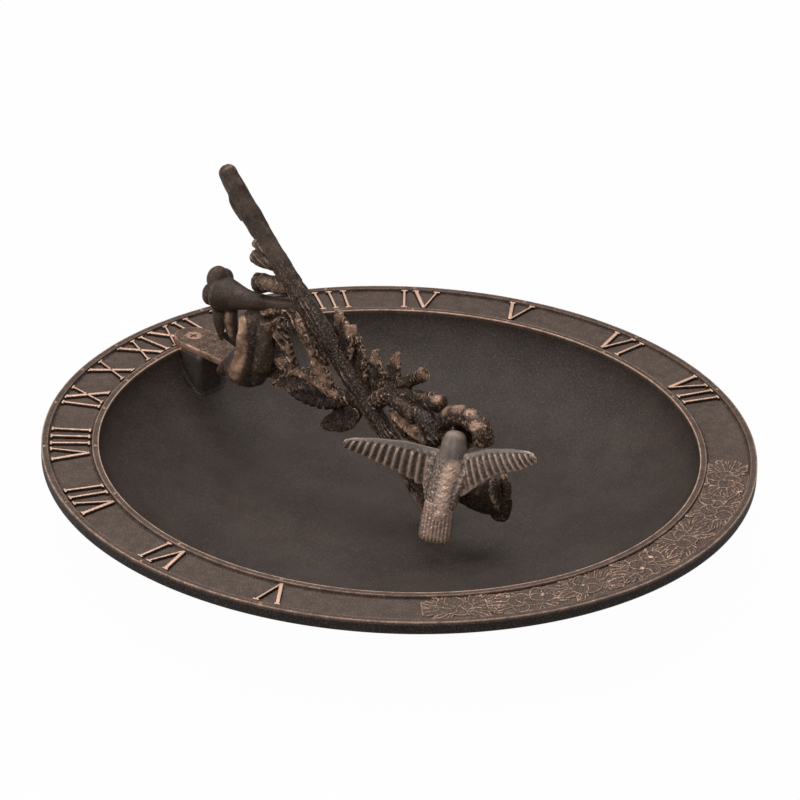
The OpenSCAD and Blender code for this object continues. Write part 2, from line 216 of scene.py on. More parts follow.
def surface(x, y, z):
    """Rows of points from three grids of coordinates."""
    return np.stack(np.broadcast_arrays(x, y, z), -1)


def sheet(top, low):
    """Points and faces of a skin with an upper and a lower surface that meet at their sides."""
    return closed_rings(np.concatenate([top, low[:, ::-1][:, 1:-1]], axis=1))


def outline_normals(outline):
    """Unit normals of a closed flat outline, which point outwards if it runs anticlockwise."""
    turned = np.roll(outline, -1, 0) - np.roll(outline, 1, 0)
    out = np.stack([turned[:, 1], -turned[:, 0]], 1)
    return out / np.linalg.norm(out, axis=1)[:, None]


def tube(points, radii, sides=32, step=1.0, blunt=(0.9, 0.9), flat=1.0, side=(0.31, 0.17, 1.0)):
    """A tube along a smooth curve with rounded ends. flat is its depth as a share of its width."""
    line, place = smooth_line(points, step)
    r = np.interp(place, range(len(radii)), radii)
    ahead, across, third = frames(line, side)
    turn = np.arange(sides) * TAU / sides
    c, s = np.cos(turn)[None, :, None], np.sin(turn)[None, :, None]
    circle = c * across[:, None] + flat * s * third[:, None]
    rings = line[:, None] + r[:, None, None] * circle
    bends = np.radians([78, 60, 40, 20])
    start = [line[0] - ahead[0] * r[0] * blunt[0] * math.sin(b) + r[0] * math.cos(b) * circle[0]
             for b in bends]
    end = [line[-1] + ahead[-1] * r[-1] * blunt[1] * math.sin(b) + r[-1] * math.cos(b) * circle[-1]
           for b in bends[::-1]]
    return closed_rings(np.concatenate([start, rings, end]))


def mesh_from(name, skin):
    mesh = bpy.data.meshes.new(name)
    points = skin.all_points() * MM
    mesh.from_pydata([tuple(p) for p in points], [], skin.faces)
    mesh.validate()
    return mesh


def object_from(name, skin):
    piece = bpy.data.objects.new(name, mesh_from(name, skin))
    bpy.context.scene.collection.objects.link(piece)
    return piece


def settle(piece):
    """Gives a piece the plain mesh that its modifiers make, and removes them."""
    bpy.context.view_layer.update()
    ready = piece.evaluated_get(bpy.context.evaluated_depsgraph_get())
    mesh = bpy.data.meshes.new_from_object(ready)
    mesh.name = piece.name
    piece.modifiers.clear()
    piece.data = mesh


SPECK_FACES = 60


def drop_specks(piece):
    """Removes loose parts with few faces, such as bubbles that a remesh leaves inside."""
    work = bmesh.new()
    work.from_mesh(piece.data)
    waiting = set(work.faces)
    specks = []
    while waiting:
        part, border = [], [waiting.pop()]
        while border:
            face = border.pop()
            part.append(face)
            near = {f for e in face.edges if len(e.link_faces) == 2 for f in e.link_faces} & waiting
            waiting -= near
            border += near
        if len(part) < SPECK_FACES:
            specks += part
    if specks:
        bmesh.ops.delete(work, geom=specks, context="FACES")
        work.to_mesh(piece.data)
    work.free()


def grown_together(piece, voxel, rounds):
    """Joins overlapping skins into one with softened joints, as metal runs in a mould."""
    remesh = piece.modifiers.new("Cast", "REMESH")
    remesh.mode = "VOXEL"
    remesh.voxel_size = voxel * MM
    soften = piece.modifiers.new("Soften", "SMOOTH")
    soften.factor = 0.5
    soften.iterations = rounds
    settle(piece)
    drop_specks(piece)


def coords(mesh):
    """Points of a mesh in millimetres."""
    flat = np.empty(len(mesh.vertices) * 3)
    mesh.vertices.foreach_get("co", flat)
    return flat.reshape(-1, 3) / MM


def set_coords(mesh, points):
    mesh.vertices.foreach_set("co", (np.asarray(points) * MM).ravel())
    mesh.update()


def normals(mesh):
    flat = np.empty(len(mesh.vertices) * 3, np.float32)
    mesh.vertex_normals.foreach_get("vector", flat)
    return flat.reshape(-1, 3).astype(float)


def push(piece, amounts):
    """Moves each point along its normal."""
    set_coords(piece.data, coords(piece.data) + normals(piece.data) * np.asarray(amounts)[:, None])


def outward(piece):
    """Joins points that lie on each other and turns all faces outwards."""
    work = bmesh.new()
    work.from_mesh(piece.data)
    bmesh.ops.remove_doubles(work, verts=work.verts, dist=1e-6)
    bmesh.ops.recalc_face_normals(work, faces=work.faces)
    work.to_mesh(piece.data)
    work.free()


def neighbour_mean(values, a, b, degree):
    total = np.empty_like(values)
    for c in range(values.shape[1]):
        total[:, c] = (np.bincount(a, values[b, c], len(values)) + np.bincount(b, values[a, c], len(values)))
    return total / degree[:, None]


def store(mesh, name, values):
    layer = mesh.attributes.get(name) or mesh.attributes.new(name, "FLOAT", "POINT")
    layer.data.foreach_set("value", np.asarray(values, np.float32))


def read_layer(mesh, name):
    values = np.empty(len(mesh.vertices), np.float32)
    mesh.attributes[name].data.foreach_get("value", values)
    return values


def scale_layer(mesh, name, share):
    """Weakens a stored layer by a share for each point."""
    store(mesh, name, read_layer(mesh, name) * share)


def shift_layer(mesh, name, amounts):
    """Raises a stored layer by an amount for each point."""
    store(mesh, name, read_layer(mesh, name) + amounts)


# Layers that tell how far a point stands out: name, reach of its surroundings and full height
RELIEF_LAYERS = (("relief", 0.8, 0.12), ("swell", 3.2, 0.45))


def mark_relief(piece, rubbed=()):
    """Stores how far each point stands out from its surroundings, close by (relief) and further
    off (swell), and where hands and cloths have rubbed it, which on some pieces also paints a
    highlight. rubbed lists balls: centre, radius and strength. Coarse, the share of grain that a
    skin shows, starts at 1 all over."""
    mesh = piece.data
    points = coords(mesh)
    edges = np.empty(len(mesh.edges) * 2, np.int32)
    mesh.edges.foreach_get("vertices", edges)
    a, b = edges.reshape(-1, 2).T
    degree = np.maximum(np.bincount(a, minlength=len(points)) + np.bincount(b, minlength=len(points)), 1)
    edge = np.median(np.linalg.norm(points[a] - points[b], axis=1))
    facing = normals(mesh)
    smoothed, done = points, 0
    for name, span, full in RELIEF_LAYERS:
        rounds = int(np.clip(round((span / edge) ** 2), 1, 40))
        while done < rounds:
            smoothed = 0.5 * smoothed + 0.5 * neighbour_mean(smoothed, a, b, degree)
            done += 1
        store(mesh, name, np.clip(((points - smoothed) * facing).sum(1) / full, -2, 2))
    amount = np.zeros(len(points))
    for centre, radius, strength in rubbed:
        away = np.linalg.norm(points - np.asarray(centre, float), axis=1) / radius
        amount = np.maximum(amount, strength * spread(-away, -1, -0.2))
    store(mesh, "rubbed", amount)
    store(mesh, "coarse", np.ones(len(points)))


def finish_piece(piece, material, body, node):
    """Gives a piece its material and smooth shading, and lets it ride on its body in place of a CAD node."""
    piece.data.materials.clear()
    piece.data.materials.append(material)
    piece.data.polygons.foreach_set("use_smooth", [True] * len(piece.data.polygons))
    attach(piece, body)
    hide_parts(node)


# Finishes

def group(name, inputs, outputs):
    """A shader node group and its input and output nodes."""
    tree = bpy.data.node_groups.new(name, "ShaderNodeTree")
    for label, kind, value in inputs:
        socket = tree.interface.new_socket(label, in_out="INPUT", socket_type=kind)
        socket.default_value = value
    for label, kind in outputs:
        tree.interface.new_socket(label, in_out="OUTPUT", socket_type=kind)
    return tree, tree.nodes.new("NodeGroupInput"), tree.nodes.new("NodeGroupOutput")


NUMBER = "NodeSocketFloat"
COLOUR = "NodeSocketColor"


def add_node(tree, kind, sources=(), **settings):
    """A node with its settings, and its inputs, by number or name, set to values or linked from sockets."""
    made = tree.nodes.new(kind)
    for key, value in settings.items():
        setattr(made, key, value)
    for key, value in dict(sources).items():
        if isinstance(value, bpy.types.NodeSocket):
            tree.links.new(value, made.inputs[key])
        else:
            made.inputs[key].default_value = value
    return made


def scaled_noise(tree, scale, detail, roughness):
    where = add_node(tree, "ShaderNodeTexCoord").outputs["Object"]
    return add_node(tree, "ShaderNodeTexNoise",
                    {"Vector": where, "Scale": scale, "Detail": detail, "Roughness": roughness}).outputs[0]


def math_node(tree, operation, *values):
    return add_node(tree, "ShaderNodeMath", dict(enumerate(values)), operation=operation).outputs[0]


def ramp_between(tree, value, low, high, to_low=0.0, to_high=1.0):
    return add_node(tree, "ShaderNodeMapRange",
                    {"Value": value, "From Min": low, "From Max": high, "To Min": to_low, "To Max": to_high},
                    interpolation_type="SMOOTHSTEP").outputs[0]


def mix_colours(tree, factor, first, second):
    """Colour mix by factor. ShaderNodeMix keeps its colour sockets after the ones for numbers and vectors."""
    return add_node(tree, "ShaderNodeMix", {0: factor, 6: first, 7: second}, data_type="RGBA").outputs[2]


def build_cast_grain():
    """Fine sand-cast grain: a height for bump and a mask of its higher grains."""
    tree, given, result = group(
        "Sand Cast Grain",
        [("Grains per Metre", NUMBER, 900.0), ("Lumps per Metre", NUMBER, 160.0), ("Lumpiness", NUMBER, 0.5)],
        [("Height", NUMBER), ("Grain", NUMBER)])
    fine = scaled_noise(tree, given.outputs[0], 2.0, 0.6)
    lumps = scaled_noise(tree, given.outputs[1], 1.0, 0.5)
    height = math_node(tree, "MULTIPLY_ADD", lumps, given.outputs[2], fine)
    tree.links.new(height, result.inputs["Height"])
    tree.links.new(ramp_between(tree, fine, 0.5, 0.72), result.inputs["Grain"])
    return tree


def build_rubbed_edges():
    """Where the dark finish is rubbed through: on raised edges, on handled places and on single grains. Some
    handled places also paint a highlight.
    """
    tree, given, result = group(
        "Rubbed Edges",
        [("Relief", NUMBER, 0.0), ("Swell", NUMBER, 0.0), ("Rubbed", NUMBER, 0.0), ("Grain", NUMBER, 0.0),
         ("Starts At", NUMBER, 0.2), ("Full At", NUMBER, 0.8), ("Flecks", NUMBER, 0.1),
         ("Overall", NUMBER, 0.0), ("Least Rubbed", NUMBER, 0.3)],
        [("Copper", NUMBER)])
    relief, swell, rubbed, grain, starts, full, flecks, overall, least = given.outputs[:9]
    patches = scaled_noise(tree, 150.0, 4.0, 0.65)
    uneven = ramp_between(tree, patches, 0.3, 0.7, least, 1.2)
    stands = math_node(tree, "MULTIPLY_ADD", swell, 0.45, relief)
    edge = math_node(tree, "MULTIPLY", ramp_between(tree, stands, starts, full), uneven)
    handled = math_node(tree, "MULTIPLY", rubbed, uneven)
    worn = math_node(tree, "MAXIMUM", edge, handled)
    broken = math_node(tree, "MULTIPLY", worn, ramp_between(tree, grain, 0.0, 1.0, 0.5, 1.15))
    total = math_node(tree, "ADD", broken, math_node(tree, "MULTIPLY_ADD", grain, flecks, overall))
    clamped = add_node(tree, "ShaderNodeClamp", {"Value": total}).outputs[0]
    tree.links.new(clamped, result.inputs["Copper"])
    return tree


# Metres between which the finish grows from its painted low-down shade to its full one
SHADED_HEIGHTS = (0.105, 0.15)


def build_dark_bronze():
    """The dark finish: blotches of two shades, with painted shade that darkens it in the hollows and low
    down.
    """
    tree, given, result = group(
        "Dark Bronze",
        [("Deep Shade", COLOUR, (0.02, 0.016, 0.014, 1)), ("Light Shade", COLOUR, (0.06, 0.045, 0.038, 1)),
         ("Relief", NUMBER, 0.0), ("Swell", NUMBER, 0.0), ("Blotches per Metre", NUMBER, 45.0),
         ("Painted Hollow Shade", NUMBER, 0.25), ("Painted Low Down Shade", NUMBER, 1.0)],
        [("Color", COLOUR)])
    blotch = scaled_noise(tree, given.outputs["Blotches per Metre"], 4.0, 0.6)
    factor = ramp_between(tree, blotch, 0.3, 0.7)
    shade = mix_colours(tree, factor, given.outputs["Deep Shade"], given.outputs["Light Shade"])
    depth = math_node(tree, "ADD", given.outputs["Relief"], given.outputs["Swell"])
    # Painted shade: darker where the surface lies lower than its surroundings
    hollow = ramp_between(tree, depth, -1.2, 0.3, given.outputs["Painted Hollow Shade"], 1.0)
    where = add_node(tree, "ShaderNodeTexCoord").outputs["Object"]
    height = add_node(tree, "ShaderNodeSeparateXYZ", {0: where}).outputs[2]
    # Painted shade: darker low down
    low = ramp_between(tree, height, *SHADED_HEIGHTS, given.outputs["Painted Low Down Shade"], 1.0)
    share = math_node(tree, "MULTIPLY", hollow, low)
    darker = add_node(tree, "ShaderNodeVectorMath", {0: shade, 1: (1, 1, 1)}, operation="MULTIPLY")
    tree.links.new(share, darker.inputs[1])
    tree.links.new(darker.outputs[0], result.inputs["Color"])
    return tree


CAST_GRAIN = build_cast_grain()
RUBBED_EDGES = build_rubbed_edges()
DARK_BRONZE = build_dark_bronze()


def bronze(name, deep, light, copper, starts, full, flecks, least, bump, metal, overall=0.0, grains=900.0,
           lumps=160.0, lumpiness=0.5, dull=0.55, shiny=0.4, specular=0.3, hollows=0.25, low=1.0):
    """A rubbed bronze finish on cast metal, from two dark shades and the copper that shows through.

    starts and full say how far an edge stands out where the copper begins and where it is bare. hollows and
    low say how dark its painted shade gets in the hollows and low down."""
    made = bpy.data.materials.new(name)
    made.use_nodes = True
    tree = made.node_tree
    surface = tree.nodes["Principled BSDF"]
    relief, swell, rubbed, coarse = [
        add_node(tree, "ShaderNodeAttribute", attribute_name=label).outputs["Fac"]
        for label in ("relief", "swell", "rubbed", "coarse")]
    grain = add_node(tree, "ShaderNodeGroup", {
        "Grains per Metre": grains, "Lumps per Metre": lumps, "Lumpiness": lumpiness}, node_tree=CAST_GRAIN)
    raised = math_node(tree, "MULTIPLY", grain.outputs["Grain"], coarse)
    wear = add_node(tree, "ShaderNodeGroup", {
        "Relief": relief, "Swell": swell, "Rubbed": rubbed, "Grain": raised, "Starts At": starts,
        "Full At": full, "Flecks": flecks, "Overall": overall, "Least Rubbed": least},
        node_tree=RUBBED_EDGES).outputs["Copper"]
    dark = add_node(tree, "ShaderNodeGroup", {
        "Deep Shade": (*deep, 1), "Light Shade": (*light, 1), "Relief": relief, "Swell": swell,
        "Painted Hollow Shade": hollows, "Painted Low Down Shade": low}, node_tree=DARK_BRONZE).outputs["Color"]
    tree.links.new(mix_colours(tree, wear, dark, (*copper, 1)), surface.inputs["Base Color"])
    tree.links.new(ramp_between(tree, wear, 0.0, 1.0, dull, shiny), surface.inputs["Roughness"])
    tree.links.new(ramp_between(tree, wear, 0.2, 1.0, 0.0, metal), surface.inputs["Metallic"])
    surface.inputs["Specular IOR Level"].default_value = specular
    height = math_node(tree, "MULTIPLY", grain.outputs["Height"], coarse)
    dent = add_node(tree, "ShaderNodeBump", {"Height": height, "Strength": 1.0, "Distance": bump * MM})
    tree.links.new(dent.outputs[0], surface.inputs["Normal"])
    return made


BASIN_FINISH = bronze(
    "Basin_Dark_Bronze", (0.046, 0.035, 0.030), (0.062, 0.048, 0.041), (0.72, 0.45, 0.33), starts=0.6,
    full=1.6, flecks=0.12, least=0.45, grains=1300.0, bump=0.2, metal=0.35, specular=0.2)
RELIEF_FINISH = bronze(
    "Relief_Rubbed_Copper", (0.046, 0.035, 0.030), (0.064, 0.049, 0.041), (0.84, 0.53, 0.38), starts=0.8,
    full=2.0, flecks=0.24, overall=0.04, least=0.5, grains=1300.0, bump=0.16, metal=0.3, specular=0.2)
# Very dark shades that paint the shade on the numerals' sides; copper shows only on their rubbed tops
NUMERAL_COPPER_AND_SHADE = bronze(
    "Numeral_Copper_And_Shade", (0.016, 0.011, 0.009), (0.028, 0.019, 0.015), (0.95, 0.61, 0.45), starts=0.9,
    full=2.0, flecks=0.05, least=0.9, bump=0.1, metal=0.3, specular=0.25)
VINE_LOOK = dict(deep=(0.027, 0.018, 0.0135), light=(0.080, 0.055, 0.042), copper=(0.84, 0.51, 0.35),
                 starts=0.3, full=1.5, flecks=0.22, overall=0.01, least=0.2, grains=1200.0, bump=0.24,
                 lumps=420.0, lumpiness=0.5, dull=0.45, shiny=0.26, metal=0.55, specular=0.22)
# low sets the painted shade low down: strong on the vine, weaker on the flowers
VINE_FINISH = bronze("Vine_Rubbed_Bronze", low=0.28, **VINE_LOOK)
FLOWER_FINISH = bronze("Flower_Rubbed_Bronze", low=0.72, **VINE_LOOK)
BIRD_FINISH = bronze(
    "Bird_Rubbed_Bronze", (0.13, 0.098, 0.082), (0.22, 0.167, 0.138), (0.95, 0.64, 0.49), starts=0.0,
    full=1.1, flecks=0.22, least=0.6, grains=1300.0, bump=0.22, lumps=520.0, lumpiness=0.8, dull=0.4,
    shiny=0.24, metal=0.25, specular=0.5, hollows=0.36)
# hollows=0.1 paints deep shade in the cross recess
SCREW_FINISH = bronze(
    "Screw_Copper", (0.10, 0.062, 0.046), (0.15, 0.094, 0.070), (0.64, 0.385, 0.275), starts=0.4,
    full=1.2, overall=0.1, flecks=0.05, least=0.7, bump=0.03, metal=0.7, hollows=0.1)


# Geometry Nodes: pieces that follow a rule

def geometry_tree(name, inputs):
    """A Geometry Nodes tree and its input and output nodes."""
    tree = bpy.data.node_groups.new(name, "GeometryNodeTree")
    tree.interface.new_socket("Geometry", in_out="INPUT", socket_type="NodeSocketGeometry")
    for label, kind in inputs:
        tree.interface.new_socket(label, in_out="INPUT", socket_type=kind)
    tree.interface.new_socket("Geometry", in_out="OUTPUT", socket_type="NodeSocketGeometry")
    return tree, tree.nodes.new("NodeGroupInput"), tree.nodes.new("NodeGroupOutput")


def close_tree(tree, geometry, finish, result):
    """Ends a Geometry Nodes tree with one real mesh that wears a finish."""
    real = add_node(tree, "GeometryNodeRealizeInstances", {0: geometry}).outputs[0]
    coated = add_node(tree, "GeometryNodeSetMaterial", {"Geometry": real, "Material": finish}).outputs[0]
    tree.links.new(coated, result.inputs[0])


def grow(piece, tree, values):
    """Runs a Geometry Nodes tree on a piece with its named inputs set, and keeps the plain mesh."""
    modifier = piece.modifiers.new(tree.name, "NODES")
    modifier.node_group = tree
    for item in tree.interface.items_tree:
        if item.in_out == "INPUT" and item.name in values:
            modifier[item.identifier] = values[item.name]
    settle(piece)


def build_turned_casting():
    """Turns the profile, whose points are at (radius, 0, height), round the dial's axis."""
    tree, given, result = geometry_tree("Turned Casting", [
        ("Profile Points", "NodeSocketInt"), ("Turn Steps", "NodeSocketInt"),
        ("Finish", "NodeSocketMaterial")])
    profile, count, steps, finish = given.outputs[:4]
    rows = math_node(tree, "ADD", steps, 1.0)
    grid = add_node(tree, "GeometryNodeMeshGrid", {"Size X": 1.0, "Size Y": 1.0, "Vertices X": count,
                                                   "Vertices Y": rows}).outputs[0]
    spot = add_node(tree, "GeometryNodeInputPosition").outputs[0]
    parts = add_node(tree, "ShaderNodeSeparateXYZ", {0: spot}).outputs
    last = math_node(tree, "SUBTRACT", count, 1.0)
    index = math_node(tree, "ROUND", math_node(tree, "MULTIPLY", math_node(tree, "ADD", parts[0], 0.5), last))
    angle = math_node(tree, "MULTIPLY", math_node(tree, "ADD", parts[1], 0.5), TAU)
    sample = add_node(tree, "GeometryNodeSampleIndex", data_type="FLOAT_VECTOR", domain="POINT")
    tree.links.new(profile, sample.inputs["Geometry"])
    tree.links.new(spot, sample.inputs["Value"])
    tree.links.new(index, sample.inputs["Index"])
    section = add_node(tree, "ShaderNodeSeparateXYZ", {0: sample.outputs[0]}).outputs
    x = math_node(tree, "MULTIPLY", section[0], math_node(tree, "COSINE", angle))
    y = math_node(tree, "MULTIPLY", section[0], math_node(tree, "SINE", angle))
    turned = add_node(tree, "ShaderNodeCombineXYZ", {0: x, 1: y, 2: section[2]}).outputs[0]
    skin = add_node(tree, "GeometryNodeSetPosition", {"Geometry": grid, "Position": turned}).outputs[0]
    whole = add_node(tree, "GeometryNodeMergeByDistance", {"Geometry": skin, "Distance": 0.00001}).outputs[0]
    close_tree(tree, whole, finish, result)
    return tree


def build_dial_pips():
    """Puts a low round pip on every point."""
    tree, given, result = geometry_tree("Hour Pips", [
        ("Pip Radius", NUMBER), ("Pip Height", NUMBER), ("Finish", "NodeSocketMaterial")])
    places, radius, height, finish = given.outputs[:4]
    ball = add_node(tree, "GeometryNodeMeshUVSphere", {"Segments": 20, "Rings": 12, "Radius": 1.0}).outputs[0]
    size = add_node(tree, "ShaderNodeCombineXYZ", {0: radius, 1: radius, 2: height}).outputs[0]
    pips = add_node(tree, "GeometryNodeInstanceOnPoints", {"Points": places, "Instance": ball, "Scale": size})
    close_tree(tree, pips.outputs[0], finish, result)
    return tree


# The basin

def wall_curve(t):
    """The rise of the bowl's wall, from 0 at the floor to 1 at the rim."""
    t = np.clip(t, 0, 1)
    return 1 - (1 - t ** WALL_POWER) ** (1 / WALL_POWER)


def inner_z(r):
    """Height of the bowl's upper face at a radius."""
    r = np.asarray(r, float)
    low = FLOOR_Z + FLOOR_RISE
    wall = low + (BAND_Z - FLOOR_Z - FLOOR_RISE) * wall_curve((r - FLOOR_R) / (RIM_IN - FLOOR_R))
    return np.where(r < FLOOR_R, FLOOR_Z + FLOOR_RISE * r / FLOOR_R, wall)


def under_z(r):
    """Height of the bowl's lower face at a radius."""
    r = np.asarray(r, float)
    wall = (FLOOR_Z + FLOOR_RISE - WALL
            + (BAND_Z - FLOOR_Z - FLOOR_RISE) * wall_curve((r - FLOOR_R) / (BAND_IN - FLOOR_R)))
    return np.where(r < FLOOR_R, FOOT_H + FLOOR_RISE * r / FLOOR_R, wall)


def bead_section(middle):
    """A flat bead with softened edges that stand a little higher, from its inner foot to its outer one."""
    half = [(-1.0, 0.0), (-1.0, 0.5), (-1.0, 0.78), (-0.98, 0.9), (-0.92, 0.975), (-0.84, 1.0), (-0.72, 0.99),
            (-0.58, 0.96), (-0.3, 0.94)]
    section = half + [(-u, h) for u, h in half[::-1]]
    return [(middle + BEAD_W / 2 * u, BAND_Z + BEAD_H * h) for u, h in section]


def basin_profile():
    floor = [(r, inner_z(r)) for r in np.linspace(0, FLOOR_R, 26)]
    wall = [(r, inner_z(r))
            for r in FLOOR_R + (RIM_IN - FLOOR_R) * np.sin(np.linspace(0, math.pi / 2, 42))[1:-1]]
    band = [(r, BAND_Z) for r in np.linspace(BAND_IN, BAND_OUT, 14)[1:-1]]
    skirt_low = DIAL_Z - SKIRT_H
    skirt = [(OUTER_R, z) for z in np.linspace(BAND_Z - 0.6, skirt_low + 1.0, 6)]
    lip = [(OUTER_R - 0.3, skirt_low + 0.3), (OUTER_R - 1.0, skirt_low), (BAND_OUT + 0.6, skirt_low),
           (BAND_OUT, skirt_low + 0.6), (BAND_OUT, BAND_Z - WALL - 0.8), (BAND_OUT - 0.8, BAND_Z - WALL)]
    under = [(r, under_z(r))
             for r in FLOOR_R + (BAND_IN - FLOOR_R) * np.sin(np.linspace(math.pi / 2, 0, 30))]
    foot = [(FOOT_OUT + 3.0, under_z(FOOT_OUT + 3.0)), (FOOT_OUT + 0.8, under_z(FOOT_OUT) - 0.8),
            (FOOT_OUT, under_z(FOOT_OUT) - 3.0), (FOOT_OUT, 0.8), (FOOT_OUT - 0.8, 0.0), (FOOT_IN + 0.8, 0.0),
            (FOOT_IN, 0.8), (FOOT_IN, under_z(FOOT_IN) - 3.0), (FOOT_IN - 0.8, under_z(FOOT_IN) - 0.8),
            (FOOT_IN - 3.0, under_z(FOOT_IN - 3.0))]
    inside = [(r, under_z(r)) for r in np.linspace(FOOT_IN - 10, 0, 8)]
    return (floor + wall + bead_section(RIM_IN + BEAD_W / 2) + band + bead_section(OUTER_R - BEAD_W / 2)
            + skirt + lip + under + foot + inside)


def boss_skin():
    """The block under the gnomon's plate, with rounded upright corners and a fillet along the wall."""
    back = RIM_IN + BEAD_W / 2
    half = BOSS_W / 2
    corner = np.radians(np.linspace(0, 90, 9))
    front_x = half - BOSS_CORNER + BOSS_CORNER * np.sin(corner)
    front_y = BOSS_FRONT + BOSS_CORNER - BOSS_CORNER * np.cos(corner)
    east = list(zip(front_x, front_y)) + [(half, y) for y in np.linspace(BOSS_FRONT + 6, back, 9)]
    west = [(-x, y) for x, y in east]
    middle = [(x, BOSS_FRONT) for x in np.linspace(-half + BOSS_CORNER, half - BOSS_CORNER, 8)[1:-1]]
    outline = np.array(west[::-1] + middle + east + [(x, back) for x in np.linspace(half, -half, 10)[1:-1]])
    centre = np.array([0.0, (BOSS_FRONT + back) / 2])
    out = outline_normals(outline)
    out[(outline[:, 1] > RIM_IN - 2)] *= [1, 0]
    start = np.minimum(inner_z(np.hypot(*outline.T)), BAND_Z - 0.5) - BOSS_SUNK
    rings = []
    for share in np.concatenate([np.linspace(0, 0.12, 5), np.linspace(0.16, 1, 12)]):
        z = start + (DIAL_Z - BOSS_SOFT - start) * share
        over = np.clip(z - start - BOSS_SUNK, 0, 4)
        flare = BOSS_FILLET_W * np.clip(1 - over / BOSS_FILLET_H, 0, 1) ** 2
        rings.append(np.column_stack([outline + out * flare[:, None], z]))
    for bend in np.radians([30, 60, 90]):
        inset = BOSS_SOFT * (1 - math.cos(bend))
        z = np.full(len(outline), DIAL_Z - BOSS_SOFT + BOSS_SOFT * math.sin(bend))
        rings.append(np.column_stack([outline - out * inset, z]))
    for share in (0.9, 0.6, 0.3):
        flat = centre + (rings[-1][:, :2] - centre) * share
        rings.append(np.column_stack([flat, np.full(len(outline), DIAL_Z)]))
    return closed_rings(rings)


def bore(piece, place, radius, low, high):
    """Cuts a round hole with an upright axis into a piece, and joins its skins into one. Corners with
    two edges, which a cut leaves between faces, are taken out, because their faces would overlap as
    triangles."""
    tool_skin = Skin().add(*tube([(*place, low), (*place, high)], [radius, radius], sides=48, blunt=(0, 0)))
    tool = object_from("bore_tool", tool_skin)
    outward(tool)
    cut = piece.modifiers.new("Bore", "BOOLEAN")
    cut.operation = "DIFFERENCE"
    cut.solver = "EXACT"
    cut.use_self = True
    cut.object = tool
    settle(piece)
    bpy.data.objects.remove(tool)
    outward(piece)
    work = bmesh.new()
    work.from_mesh(piece.data)
    corners = [v for v in work.verts if len(v.link_edges) == 2]
    bmesh.ops.dissolve_verts(work, verts=corners)
    work.to_mesh(piece.data)
    work.free()


TURN_STEPS = 360

# Rubbed edges of the two beads: radius and strength
BEAD_EDGES = ((RIM_IN + 0.28, 1.7), (BAND_IN - 0.28, 0.55), (BAND_OUT + 0.28, 0.25), (OUTER_R - 0.28, 0.9))


def make_basin():
    profile = basin_profile()
    skin = Skin()
    skin.add([(r, 0.0, float(z)) for r, z in profile], [])
    basin = object_from("cast_basin", skin)
    grow(basin, build_turned_casting(), {
        "Profile Points": len(profile), "Turn Steps": TURN_STEPS, "Finish": BASIN_FINISH})
    outward(basin)
    joined = Skin().add(coords(basin.data), [tuple(p.vertices) for p in basin.data.polygons])
    joined.add(*boss_skin())
    basin.data = mesh_from("cast_basin", joined)
    outward(basin)
    bore(basin, (SCREW_X, SCREW_Y), BORE_R, DIAL_Z - BORE_DEPTH, DIAL_Z + 3)
    mark_relief(basin)
    points = coords(basin.data)
    radius = np.hypot(points[:, 0], points[:, 1])
    height = points[:, 2] - BAND_Z
    on_rim = spread(radius, RIM_IN - 0.3, RIM_IN) * spread(height, -0.4, -0.05)
    edge = np.zeros(len(points))
    for line, strength in BEAD_EDGES:
        edge = np.maximum(edge, strength * spread(-np.abs(radius - line), -0.6, -0.25))
    edge = edge * spread(height, BEAD_H * 0.5, BEAD_H * 0.8)
    west_corner = np.hypot(points[:, 0] + BOSS_W / 2 - 1.2, points[:, 1] - BOSS_FRONT - 1.2)
    corner = spread(-west_corner, -2.6, -1.4) * spread(points[:, 2], DIAL_Z - 3.5, DIAL_Z - 1)
    store(basin.data, "rubbed", np.maximum(on_rim * (0.13 + edge), 0.5 * corner))
    # Painted shade on the skirt: lowering its relief darkens it through the hollow shade
    skirt = spread(radius, OUTER_R - 0.8, OUTER_R - 0.3) * spread(-points[:, 2], 0.8 - DIAL_Z, 1.6 - DIAL_Z)
    shift_layer(basin.data, "relief", -1.1 * skirt)
    finish_piece(basin, BASIN_FINISH, "basin", "basin")


# The dial

def hour_angle(hour):
    """Angle of an hour line from the noon line, in degrees, for hours counted from noon."""
    turn = math.radians(15 * hour)
    return math.degrees(math.atan2(math.sin(math.radians(LATITUDE)) * math.sin(turn), math.cos(turn)))


# How far past its hour line each numeral is cast on the real dial, in degrees, from the morning V on
NUMERAL_SHIFT = [-0.6, -1.1, 0, 1.2, 3.2, 2.5, 2.5, 1.9, 1.5, 0.9, 0.3, 0.8, 0, -0.4, -1.4]


def bar(start, end, width, height):
    """A ridge with sloping sides and rounded shoulders, lying on the plane z = 0."""
    start, end = np.array(start, float), np.array(end, float)
    length = np.linalg.norm(end - start)
    d = (end - start) / length
    side = np.array([-d[1], d[0]])
    section = [(-1.15, -0.2), (-1.02, 0.4), (-0.92, 0.72), (-0.8, 0.9), (-0.55, 1), (0.55, 1), (0.8, 0.9),
               (0.92, 0.72), (1.02, 0.4), (1.15, -0.2)]
    rings = []
    ends = ((0, 0.8), (0.3, 0.96), (0.8, 1), (length - 0.8, 1), (length - 0.3, 0.96), (length, 0.8))
    for place, shrink in ends:
        middle = start + d * place
        rings.append([(*(middle + side * u * width / 2 * shrink), v * height * (shrink if v > 0 else 1))
                      for u, v in section])
    return closed_rings(rings)


